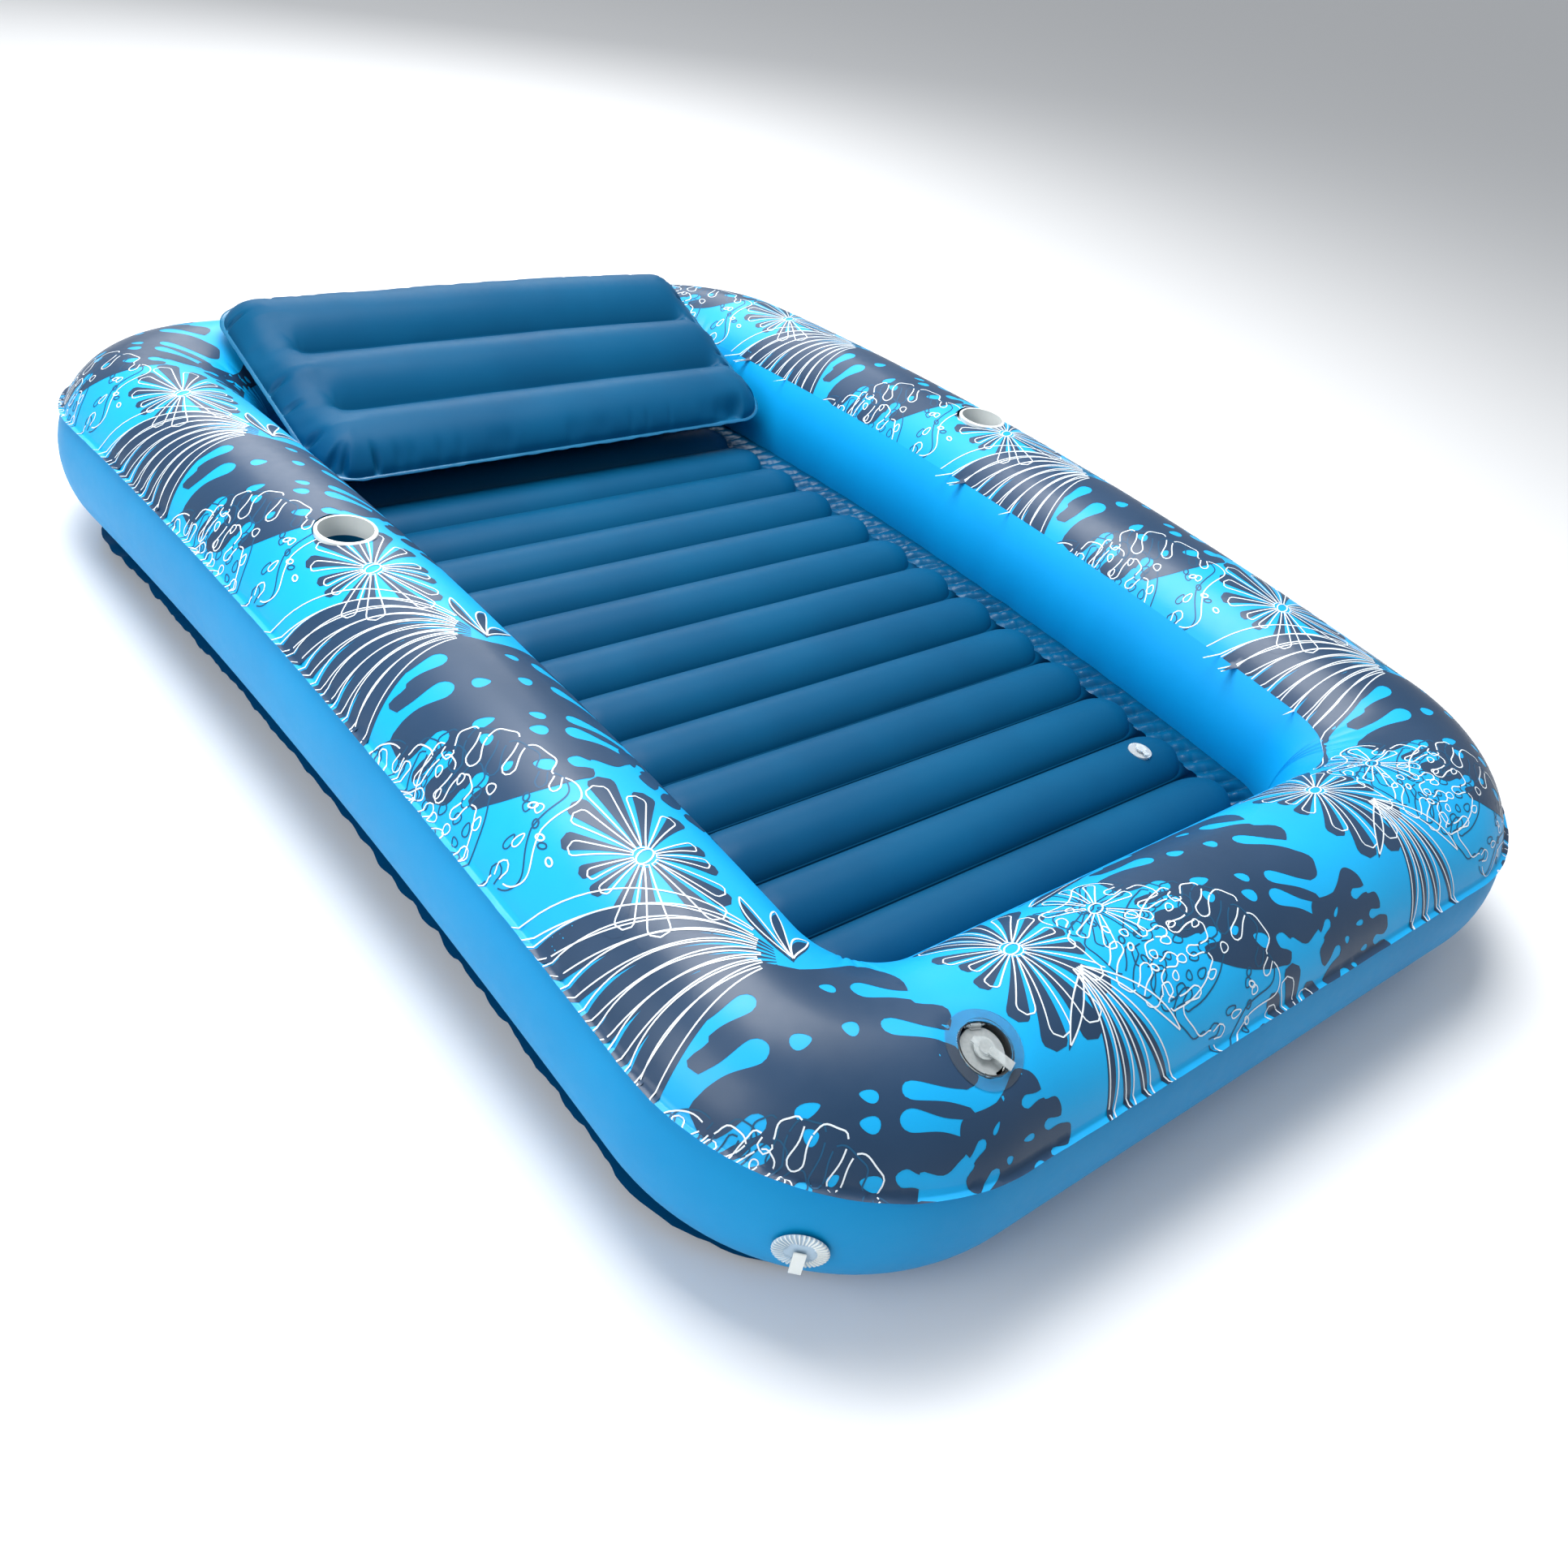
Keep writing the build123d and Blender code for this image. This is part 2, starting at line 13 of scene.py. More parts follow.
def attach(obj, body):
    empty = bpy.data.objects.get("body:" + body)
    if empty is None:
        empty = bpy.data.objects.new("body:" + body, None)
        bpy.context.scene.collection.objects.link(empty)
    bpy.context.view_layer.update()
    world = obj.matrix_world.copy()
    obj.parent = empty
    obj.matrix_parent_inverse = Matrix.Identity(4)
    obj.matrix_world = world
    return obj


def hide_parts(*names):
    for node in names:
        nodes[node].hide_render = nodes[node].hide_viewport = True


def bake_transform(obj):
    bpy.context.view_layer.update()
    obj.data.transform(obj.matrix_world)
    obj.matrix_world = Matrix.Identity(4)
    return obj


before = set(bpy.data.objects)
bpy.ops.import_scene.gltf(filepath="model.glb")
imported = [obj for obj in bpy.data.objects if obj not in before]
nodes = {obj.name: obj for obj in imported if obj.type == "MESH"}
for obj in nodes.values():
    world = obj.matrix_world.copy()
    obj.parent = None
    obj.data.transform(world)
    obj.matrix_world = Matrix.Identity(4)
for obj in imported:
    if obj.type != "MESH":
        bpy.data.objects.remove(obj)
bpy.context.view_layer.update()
MM = 0.001

# The float's measures, as in the CAD model
ARCH_RADIUS = 8756.0
RADIUS_X = 155.0
RADIUS_Z = 161.0
OVAL_CENTRE = 157.0
CORNER = 158.0
STRAIGHT_X = 477.0
STRAIGHT_Y = 777.0
SPINE_X = 635.0
SPINE_Y = 935.0
LOWER_SEAM = -69.0
OUTER_SEAM = 26.0
INNER_SEAM = 144.0
FLOOR_SEAM = 199.0
ARCH_ANGLE = STRAIGHT_Y / ARCH_RADIUS
REST_HALF = RADIUS_X * math.sqrt(1 - (OVAL_CENTRE / RADIUS_Z) ** 2)
END_REACH = SPINE_Y + REST_HALF - STRAIGHT_Y
CROWN = ARCH_RADIUS * (1 - math.cos(ARCH_ANGLE)) + END_REACH * math.sin(ARCH_ANGLE)
CUP_Y = 120.0
CUP_HOLE = 43.2
VALVE_PLACE = (-480.0, -976.4)
VALVE_PORT = 33.0
CHAMBERS = 14
PITCH = 107.9
FIRST_WELD = 763.0
WELD_HEIGHT = 96.5
CHAMBER_TOP = 130.0
MATTRESS_HALF = 430.0
LIP = 8.0
TUB_CORNER = 90.0
PERIMETER = 4 * STRAIGHT_X + 4 * STRAIGHT_Y + 2 * math.pi * CORNER
STEP = 9.0
WIDE_ROWS = 22
NARROW_ROWS = 18


# ---------------------------------------------------------------- surfaces
def arched(p):
    """Carries flat points, an array of rows, onto the arch."""
    along = np.clip(p[:, 1], -STRAIGHT_Y, STRAIGHT_Y)
    turn = along / ARCH_RADIUS
    past = p[:, 1] - along
    radius = ARCH_RADIUS + p[:, 2]
    y = radius * np.sin(turn) + past * np.cos(turn)
    z = radius * np.cos(turn) - ARCH_RADIUS + CROWN - past * np.sin(turn)
    return np.c_[p[:, 0], y, z]


def unit(rows):
    """Each row made one long."""
    return rows / np.maximum(np.linalg.norm(rows, axis=1), 1e-6)[:, None]


def from_core(plan):
    """Plan points as the nearest point of the straight inner rectangle, the way out from it and how far."""
    core = np.c_[np.clip(plan[:, 0], -STRAIGHT_X, STRAIGHT_X), np.clip(plan[:, 1], -STRAIGHT_Y, STRAIGHT_Y)]
    out = plan - core
    size = np.maximum(np.linalg.norm(out, axis=1), 1e-6)
    return core, out / size[:, None], size


def waves(x, y, scale, seed, count=7):
    """Smooth noise from -1 to 1: a sum of plane waves about scale long."""
    rng = random.Random(seed)
    total = np.zeros(np.shape(x))
    for _ in range(count):
        way = rng.uniform(0, 2 * math.pi)
        size = scale * rng.uniform(0.6, 1.6)
        phase = rng.uniform(0, 2 * math.pi)
        total = total + np.sin((x * math.cos(way) + y * math.sin(way)) * 2 * math.pi / size + phase)
    return total / count


def spine_frame(s):
    """The spine's core points and ways out at distances s along it, from the right side's middle."""
    s = np.mod(s, PERIMETER)
    quarter = np.floor(4 * s / PERIMETER)
    run = s - quarter * PERIMETER / 4
    run = np.where(quarter % 2 == 1, PERIMETER / 4 - run, run)
    angle = np.clip((run - STRAIGHT_Y) / CORNER, 0, math.pi / 2)
    past = np.maximum(run - STRAIGHT_Y - CORNER * math.pi / 2, 0)
    signs = np.c_[np.where((quarter == 1) | (quarter == 2), -1.0, 1.0), np.where(quarter > 1, -1.0, 1.0)]
    core = np.c_[STRAIGHT_X - past, np.minimum(run, STRAIGHT_Y)]
    return core * signs, np.c_[np.cos(angle), np.sin(angle)] * signs


def puckers(core, way, theta):
    """How far the film stands off the smooth tube: pulls at the seams and folds inside the corners."""
    x = core[:, 0] + way[:, 0] * CORNER
    y = core[:, 1] + way[:, 1] * CORNER
    bend = 2 * np.abs(way[:, 0] * way[:, 1])
    angle = np.arctan2(way[:, 1], way[:, 0])
    lift = 0.5 * waves(x, y, 420, 3) * np.cos(np.radians(theta * 2))
    near_outer = np.exp(-np.abs(theta - OUTER_SEAM) / 9)
    near_inner = np.exp(-np.abs(theta - INNER_SEAM) / 8)
    near_floor = np.exp(-np.abs(theta - FLOOR_SEAM) / 12)
    lift -= (near_outer + near_inner) * 0.9
    lift -= near_outer * 0.7 * waves(x, y, 60, 11)
    lift -= near_inner * (0.5 + 0.9 * bend) * waves(x, y, 46, 12)
    inside = np.clip((theta - 118) / 40, 0, 1) * np.clip((FLOOR_SEAM + 6 - theta) / 22, 0, 1)
    fold = np.abs(np.sin(angle * 9 + 0.8 * waves(x, y, 300, 5) + theta * 0.012)) ** 0.6
    lift -= 5.0 * (bend ** 0.7) * inside * (1 - fold)
    lift -= near_floor * 1.2 * (0.4 + waves(x, y, 70, 13))
    low = np.exp(-np.abs(theta - LOWER_SEAM) / 13)
    lift -= low * (1.2 + 1.6 * waves(x, y, 55, 14))
    return lift


def rounded_tub(core, way, theta, across):
    """Plan places on the tube, with the tub's sharp corners drawn round: the film spans them rather than folding in."""
    plain = core + way * across[:, None]
    # The rounding grows from the crown to the tub's wall and dies away under the tube
    turn = np.mod(theta, 360)
    share = np.clip((np.abs(turn - 90) - 12) / 62, 0, 1) * (turn > 90)
    share = share * np.clip((262 - turn) / 50, 0, 1)
    radius = np.maximum(TUB_CORNER * share * share * (3 - 2 * share), 0.01)
    alpha = np.degrees(np.arctan2(np.abs(way[:, 1]), np.abs(way[:, 0])))
    on_side, on_end = alpha < 0.01, alpha > 89.99
    run = np.where(on_side, STRAIGHT_Y - np.abs(core[:, 1]), np.where(on_end, STRAIGHT_X - np.abs(core[:, 0]), 0.0))
    first = 90 * radius / (2 * radius + across * math.pi / 2)
    eased = first * (1 - run / radius)
    middle = first + (90 - 2 * first) * alpha / 90
    bent = np.radians(np.where(on_side, eased, np.where(on_end, 90 - eased, middle)))
    signs = np.where(core < 0, -1.0, 1.0)
    centre = np.array([STRAIGHT_X, STRAIGHT_Y]) - radius[:, None]
    local = centre + (across + radius)[:, None] * np.c_[np.cos(bent), np.sin(bent)]
    return np.where(((run < radius) & (radius > 0.5))[:, None], signs * local, plain)


def tube(core, way, theta, lift):
    """Points on the tube's oval: theta in degrees from the outside over the crown, lift off the film."""
    t = np.radians(theta)
    c, n = np.cos(t), np.sin(t)
    slope = unit(np.c_[RADIUS_Z * c, RADIUS_X * n])
    off = lift + puckers(core, way, theta)
    across = CORNER + RADIUS_X * c + slope[:, 0] * off
    across = np.maximum(across, 0.6)
    z = np.maximum(OVAL_CENTRE + RADIUS_Z * n + slope[:, 1] * off, 0.0)
    return np.c_[rounded_tub(core, way, theta, across), z]


# Distance over the film from the crown, out positive, against theta
FILM_THETA = np.linspace(INNER_SEAM, OUTER_SEAM, 400)
FILM_STEPS = np.hypot(
    np.diff(RADIUS_X * np.cos(np.radians(FILM_THETA))), np.diff(RADIUS_Z * np.sin(np.radians(FILM_THETA)))
)
FILM_REACH = np.concatenate([[0], np.cumsum(FILM_STEPS)])
FILM_REACH -= np.interp(-90, -FILM_THETA, FILM_REACH)
REACH_IN, REACH_OUT = float(FILM_REACH[0]), float(FILM_REACH[-1])
FLANGE_RADIUS = 54.0
FLANGE_DIP = 1.7


def printed(plan, lift):
    """Carries points of the flat printed sheet, seen from above, onto the top film and its outer lip."""
    core, way, size = from_core(plan)
    reach = size - CORNER
    theta = np.interp(reach, FILM_REACH, FILM_THETA)
    flat = tube(core, way, theta, lift)
    past = np.clip(reach - REACH_OUT, 0, LIP)
    ripple = waves(flat[:, 0], flat[:, 1], 48, 21) * 1.3
    flat[:, :2] += way * past[:, None]
    flat[:, 2] += (past / LIP) * ripple + np.where(past > 0, lift, 0)
    # The film lies just under the wide valve's flange
    from_valve = np.linalg.norm(plan - np.array(VALVE_PLACE), axis=1)
    flat[:, 2] -= FLANGE_DIP * np.clip((FLANGE_RADIUS - from_valve) / 8, 0, 1)
    return arched(flat)


def within(plan, slack=0.0):
    """Plan points held to the printed sheet: inside its two seams and outside the three holes."""
    core, way, size = from_core(np.array(plan, float))
    low, high = CORNER + REACH_IN + slack, CORNER + REACH_OUT + LIP - slack
    inside = (size > low) & (size < high)
    plan = core + way * np.clip(size, low, high)[:, None]
    for x, y, radius in ((-SPINE_X, CUP_Y, CUP_HOLE), (SPINE_X, CUP_Y, CUP_HOLE), (*VALVE_PLACE, VALVE_PORT)):
        gap = plan - (x, y)
        far = np.maximum(np.linalg.norm(gap, axis=1), 1e-6)
        hole = far < radius + slack
        inside &= ~hole
        plan[hole] = np.array((x, y)) + gap[hole] / far[hole][:, None] * (radius + slack)
    return plan, inside


# ---------------------------------------------------------------- meshes
def mesh_piece(name, points, faces, material, body="float", smooth=True):
    """A mesh object in metres on a body."""
    mesh = bpy.data.meshes.new(name)
    mesh.from_pydata((np.asarray(points, float) * MM).tolist(), [], [tuple(f) for f in faces])
    mesh.update()
    if smooth:
        mesh.polygons.foreach_set("use_smooth", [True] * len(mesh.polygons))
    piece = bpy.data.objects.new(name, mesh)
    bpy.context.scene.collection.objects.link(piece)
    if material is not None:
        mesh.materials.append(material)
    if body:
        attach(piece, body)
    return piece


def grid_faces(rows, columns, close_rows=False, close_columns=False, flip=False):
    """Quads over a grid of points numbered row by row."""
    faces = []
    for i in range(rows if close_rows else rows - 1):
        for j in range(columns if close_columns else columns - 1):
            a, b = i * columns + j, i * columns + (j + 1) % columns
            c, d = ((i + 1) % rows) * columns + (j + 1) % columns, ((i + 1) % rows) * columns + j
            faces.append((a, d, c, b) if flip else (a, b, c, d))
    return faces


def used_only(points, faces):
    """Drops the points that no face uses."""
    used = sorted({i for f in faces for i in f})
    place = {old: new for new, old in enumerate(used)}
    return np.asarray(points)[used], [tuple(place[i] for i in f) for f in faces]


# ---------------------------------------------------------------- materials
def material(name):
    """A new material, a maker of its nodes with some inputs set, its link function and its shader."""
    mat = bpy.data.materials.new(name)
    mat.use_nodes = True
    nt = mat.node_tree

    def node(kind, **inputs):
        made = nt.nodes.new("ShaderNode" + kind)
        for key, value in inputs.items():
            made.inputs[key.replace("_", " ")].default_value = value
        return made

    return mat, node, nt.links.new, nt.nodes["Principled BSDF"]


def film(name, colour, shade, roughness=0.34, coat=0.25, specular=0.45, bump=0.06, scratches=0.0, seed=0.0):
    """Printed or dyed vinyl film: a mottled colour between two tones, uneven gloss and a fine orange-peel skin."""
    mat, node, link, bsdf = material(name)
    place = node("TexCoord")
    shift = node("Mapping", Location=(seed, seed * 0.7, seed * 1.3))
    link(place.outputs["Object"], shift.inputs["Vector"])
    broad = node("TexNoise", Scale=5.0, Detail=4.0)
    fine = node("TexNoise", Scale=900.0, Detail=2.0)
    skin = node("TexNoise", Scale=60.0, Detail=3.0)
    for noise in (broad, fine, skin):
        link(shift.outputs["Vector"], noise.inputs["Vector"])
    mix = node("Mix")
    mix.data_type = "RGBA"
    mix.inputs["A"].default_value = (*colour, 1)
    mix.inputs["B"].default_value = (*shade, 1)
    spread = node("MapRange", From_Min=0.35, From_Max=0.65)
    link(broad.outputs["Fac"], spread.inputs["Value"])
    link(spread.outputs["Result"], mix.inputs["Factor"])
    grain = node("Mix", Factor=0.10)
    grain.data_type = "RGBA"
    grain.blend_type = "MULTIPLY"
    link(mix.outputs["Result"], grain.inputs["A"])
    link(fine.outputs["Color"], grain.inputs["B"])
    link(grain.outputs["Result"], bsdf.inputs["Base Color"])
    gloss = node("MapRange", To_Min=roughness - 0.05, To_Max=roughness + 0.07)
    link(skin.outputs["Fac"], gloss.inputs["Value"])
    link(gloss.outputs["Result"], bsdf.inputs["Roughness"])
    bsdf.inputs["Coat Weight"].default_value = coat
    bsdf.inputs["Coat Roughness"].default_value = 0.22
    bsdf.inputs["Specular IOR Level"].default_value = specular
    height = node("Math")
    height.operation = "MULTIPLY_ADD"
    height.inputs[1].default_value = 0.35
    link(fine.outputs["Fac"], height.inputs[0])
    link(skin.outputs["Fac"], height.inputs[2])
    top = height
    if scratches:
        stretch = node("Mapping", Scale=(9, 60, 14), Rotation=(0.3, 0.2, 0.8))
        link(shift.outputs["Vector"], stretch.inputs["Vector"])
        lines = node("TexNoise", Scale=3.0, Detail=6.0)
        link(stretch.outputs["Vector"], lines.inputs["Vector"])
        ridge = node("MapRange", From_Min=0.66, From_Max=0.70, To_Max=scratches)
        link(lines.outputs["Fac"], ridge.inputs["Value"])
        top = node("Math")
        link(height.outputs["Value"], top.inputs[0])
        link(ridge.outputs["Result"], top.inputs[1])
    relief = node("Bump", Strength=bump, Distance=0.002)
    link(top.outputs["Value"], relief.inputs["Height"])
    link(relief.outputs["Normal"], bsdf.inputs["Normal"])
    return mat


def clear_vinyl(name, tint, roughness=0.12, transmission=0.82, bump=0.08, scale=240.0):
    """Soft clear plastic: milky in places, with a moulded ripple."""
    mat, node, link, bsdf = material(name)
    place = node("TexCoord")
    cloud = node("TexNoise", Scale=scale, Detail=3.0)
    link(place.outputs["Object"], cloud.inputs["Vector"])
    mix = node("Mix")
    mix.data_type = "RGBA"
    mix.inputs["A"].default_value = (*tint, 1)
    mix.inputs["B"].default_value = (0.93, 0.96, 0.96, 1)
    link(cloud.outputs["Fac"], mix.inputs["Factor"])
    link(mix.outputs["Result"], bsdf.inputs["Base Color"])
    rough = node("MapRange", To_Min=roughness * 0.6, To_Max=roughness * 1.8)
    link(cloud.outputs["Fac"], rough.inputs["Value"])
    link(rough.outputs["Result"], bsdf.inputs["Roughness"])
    bsdf.inputs["Transmission Weight"].default_value = transmission
    bsdf.inputs["IOR"].default_value = 1.42
    relief = node("Bump", Strength=bump, Distance=0.0006)
    link(cloud.outputs["Fac"], relief.inputs["Height"])
    link(relief.outputs["Normal"], bsdf.inputs["Normal"])
    return mat


INK = {"coat": 0.1, "specular": 0.3}
CYAN = film("printed_film", (0.002, 0.40, 0.80), (0.001, 0.36, 0.75), 0.44, scratches=0.8, seed=0.2, **INK)
NAVY_INK = film("navy_ink", (0.014, 0.048, 0.110), (0.008, 0.038, 0.092), 0.42, coat=0.15, specular=0.4, seed=1.1)
DARK_INK = film("dark_line_ink", (0.01, 0.085, 0.19), (0.008, 0.07, 0.15), 0.44, seed=1.7, **INK)
WHITE_INK = film("white_line_ink", (0.80, 0.86, 0.90), (0.72, 0.80, 0.86), 0.44, seed=2.3, **INK)
BLUE = film(
    "blue_film", (0.0, 0.27, 0.58), (0.0, 0.25, 0.55), 0.52, coat=0.0, specular=0.18, scratches=0.8, seed=3.1
)
BRIGHT_BLUE = film("inner_wall_film", (0.0, 0.34, 0.76), (0.0, 0.31, 0.71), 0.5, coat=0.05, specular=0.2, seed=3.9)
NAVY = film("navy_film", (0.0, 0.080, 0.182), (0.0, 0.068, 0.160), 0.48, coat=0.0, specular=0.13, seed=4.7)
PLEAT = film(
    "pleated_film", (0.0, 0.080, 0.185), (0.0, 0.06, 0.150), 0.3, coat=0.1, specular=0.2, bump=0.08, seed=5.3
)
# The weld rim's navy is lighter than the pillow's own navy: a painted highlight standing in for the gloss that the thin
# flange catches.
RIM_PAINTED_HIGHLIGHT = film(
    "weld_rim_painted_highlight_film", (0.01, 0.16, 0.31), (0.005, 0.12, 0.26), 0.25, coat=0.4, specular=0.4, bump=0.08, seed=5.9
)
WHITE = film("white_vinyl", (0.80, 0.84, 0.82), (0.74, 0.79, 0.78), coat=0.3, seed=6.1)
CLEAR = clear_vinyl("clear_vinyl", (0.74, 0.80, 0.82), transmission=0.55)
MILKY = clear_vinyl("milky_vinyl", (0.60, 0.68, 0.70), roughness=0.16, transmission=0.62)
FLANGE = clear_vinyl(
    "clear_flange_vinyl", (0.86, 0.95, 0.98), roughness=0.05, transmission=0.97, bump=0.04, scale=90.0
)
FROSTED = film("frosted_patch_vinyl", (0.42, 0.56, 0.68), (0.36, 0.50, 0.63), 0.3, coat=0.3, seed=7.4)


# ---------------------------------------------------------------- ring films
def round_spine(step):
    """Places about a step apart all round the spine: their number, and their core points and ways out."""
    count = int(PERIMETER / step)
    return count, *spine_frame(np.arange(count) * PERIMETER / count)


def tube_panel(name, first, last, rows, mat, replaced, lip=None):
    """A band of the tube between two seams, with an optional gathered lip past the first one."""
    columns, core, way = round_spine(STEP)
    sheets = [tube(core, way, np.full(columns, theta), np.zeros(columns)) for theta in np.linspace(first, last, rows)]
    if lip:
        edge = sheets[0]
        x, y = edge[:, 0], edge[:, 1]
        for share in (0.2, 0.4, 0.6, 0.8, 1.0):
            width, wave = lip(x, y, way)
            out = edge.copy()
            out[:, :2] += way * (width * share)[:, None]
            out[:, 2] = np.maximum(out[:, 2] + wave * share ** 1.3, 0.4)
            sheets.insert(0, out)
    faces = grid_faces(len(sheets), columns, close_columns=True, flip=True)
    piece = mesh_piece(name, arched(np.array(sheets).reshape(-1, 3)), faces, mat)
    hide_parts(replaced)


def lower_lip(x, y, way):
    """The base film's loose edge: wide and gathered along the sides and corners, narrow across the ends."""
    side = np.clip(np.abs(way[:, 0]) * 1.4, 0, 1)
    width = 13 + 21 * side + 21 * np.abs(way[:, 0]) ** 6 + 5.0 * waves(x, y, 70, 31)
    wave = 6.0 * waves(x, y, 34, 32) * (0.4 + 0.6 * side) + 5.0 * side
    return width, wave


def printed_panel():
    """The printed top film with its three holes and its outer lip."""
    columns, core, way = round_spine(STEP)
    reaches = list(np.linspace(REACH_IN, REACH_OUT, 40))
    reaches += [REACH_OUT + LIP * k / 3 for k in (1, 2, 3)]
    plan = np.concatenate([core + way * (CORNER + reach) for reach in reaches])
    held, inside = within(plan)
    edge_rows = np.zeros(len(plan), bool)
    for row in (0, len(reaches) - 1):
        edge_rows[row * columns : (row + 1) * columns] = True
    keep = inside | edge_rows
    faces = [f for f in grid_faces(len(reaches), columns, close_columns=True) if any(keep[i] for i in f)]
    points, faces = used_only(printed(held, np.zeros(len(held))), faces)
    piece = mesh_piece("ring_printed_film", points, faces, CYAN)
    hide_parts("ring_top_panel")


# ---------------------------------------------------------------- the print
class Ink:
    """Collects the flat shapes of one ink."""

    def __init__(self, name, mat, base):
        self.name, self.mat, self.base = name, mat, base
        self.points, self.faces, self.lifts = [], [], []

    def add(self, plan, faces, lift):
        held, inside = within(plan, 0.15)
        faces = [f for f in faces if any(inside[i] for i in f)]
        if not faces:
            return
        start = len(self.points)
        self.points.extend(held.tolist())
        self.lifts.extend([self.base + lift] * len(held))
        self.faces.extend(tuple(i + start for i in f) for f in faces)

    def make(self):
        points, faces = used_only(np.c_[self.points, self.lifts], self.faces)
        mesh_piece(self.name, printed(points[:, :2], points[:, 2]), faces, self.mat)


navy_ink = Ink("print_navy_shapes", NAVY_INK, 0.18)
dark_ink = Ink("print_dark_lines", DARK_INK, 0.42)
white_ink = Ink("print_white_lines", WHITE_INK, 0.55)


def curve_through(points, closed=False, step=5.0):
    """A smooth line through a few points, sampled about every step."""
    p = np.array(points, float)
    n = len(p)
    out = []
    for i in range(n if closed else n - 1):
        if closed:
            a, b, c, d = p[(i - 1) % n], p[i], p[(i + 1) % n], p[(i + 2) % n]
        else:
            a, b, c, d = p[max(i - 1, 0)], p[i], p[i + 1], p[min(i + 2, n - 1)]
        count = max(2, int(np.linalg.norm(c - b) / step))
        for t in np.arange(count) / count:
            square, cube = 2 * a - 5 * b + 4 * c - d, 3 * b - a - 3 * c + d
            out.append(0.5 * ((2 * b) + (c - a) * t + square * t * t + cube * t ** 3))
    if not closed:
        out.append(p[-1])
    return np.array(out)


def across_of(steps):
    """Directions square to each step of a line, to its left."""
    way = unit(steps)
    return np.c_[-way[:, 1], way[:, 0]]


def pen(ink, line, width, lift=0.0, closed=False):
    """A drawn line: a ribbon along a curve."""
    line = np.asarray(line)
    if closed:
        ahead, behind = np.roll(line, -1, 0), np.roll(line, 1, 0)
    else:
        ahead = np.concatenate([line[1:], line[-1:]])
        behind = np.concatenate([line[:1], line[:-1]])
    side = across_of(ahead - behind) * width / 2
    plan = np.concatenate([line - side, line + side])
    n = len(line)
    faces = [(i, (i + 1) % n, (i + 1) % n + n, i + n) for i in range(n if closed else n - 1)]
    ink.add(plan, faces, lift)


def blade(ink, spine, halves, lift, columns=4):
    """A filled slender shape: a strip as wide as halves at each point of its middle line."""
    side = across_of(np.gradient(spine, axis=0))
    rows = [spine + side * (halves * share)[:, None] for share in np.linspace(-1, 1, columns + 1)]
    plan = np.array(rows).transpose(1, 0, 2).reshape(-1, 2)
    ink.add(plan, grid_faces(len(spine), columns + 1, flip=True), lift)


def blade_outline(spine, halves):
    """The two edges of a slender shape as one closed line."""
    side = across_of(np.gradient(spine, axis=0)) * halves[:, None]
    return np.concatenate([spine - side, (spine + side)[::-1]])


def inside_loop(points, loop):
    """Which points lie inside a closed line."""
    x, y = points[:, 0][:, None], points[:, 1][:, None]
    ax, ay = loop[:, 0], loop[:, 1]
    bx, by = np.roll(ax, -1), np.roll(ay, -1)
    crossing = (ay > y) != (by > y)
    at = ax + (y - ay) * (bx - ax) / np.where(by == ay, 1e-9, by - ay)
    return (np.sum(crossing & (x < at), axis=1) % 2) == 1


def filled(ink, outline, cuts, lift, step=9.0):
    """A filled shape: an outline less its cuts and holes, in triangles small enough to follow the tube."""
    loops = [outline] + cuts
    low, high = outline.min(0), outline.max(0)
    grid = np.array([(x, y) for x in np.arange(low[0], high[0], step) for y in np.arange(low[1], high[1], step)])
    grid = grid[inside_loop(grid, outline)]
    verts, edges = [], []
    for loop in loops:
        start = len(verts)
        verts.extend(Vector(p) for p in loop)
        edges.extend((start + i, start + (i + 1) % len(loop)) for i in range(len(loop)))
    everything = np.concatenate(loops)
    if len(grid):
        gap = np.min(np.linalg.norm(grid[:, None] - everything[None], axis=2), axis=1)
        verts.extend(Vector(p) for p in grid[gap > 2.5])
    made = delaunay_2d_cdt(verts, edges, [], 0, 1e-4)
    points = np.array([tuple(v) for v in made[0]])
    faces = np.array([f for f in made[2] if len(f) == 3])
    middle = points[faces].mean(1)
    keep = inside_loop(middle, outline)
    for cut in cuts:
        keep &= ~inside_loop(middle, cut)
    ink.add(points, [tuple(f) for f in faces[keep]], lift)


def turned(points, angle, place=(0, 0), size=1.0):
    """Points turned by an angle in degrees, scaled and moved."""
    a = math.radians(angle)
    turn = np.array([[math.cos(a), math.sin(a)], [-math.sin(a), math.cos(a)]])
    return np.asarray(points, float) * size @ turn + np.asarray(place, float)


def finger(start, end, wide_start, wide_end, step=4.0):
    """A rounded slot from start to end, with its own half width at each end."""
    start, end = np.array(start, float), np.array(end, float)
    way = (end - start) / np.linalg.norm(end - start)
    side = np.array([-way[1], way[0]])
    middle = (start + end) / 2
    waist = min(wide_start, wide_end) * 0.75
    knots = [
        start + side * wide_start,
        middle + side * waist,
        end - way * wide_end + side * wide_end,
        end,
        end - way * wide_end - side * wide_end,
        middle - side * waist,
        start - side * wide_start,
    ]
    return curve_through(knots, closed=True, step=step)


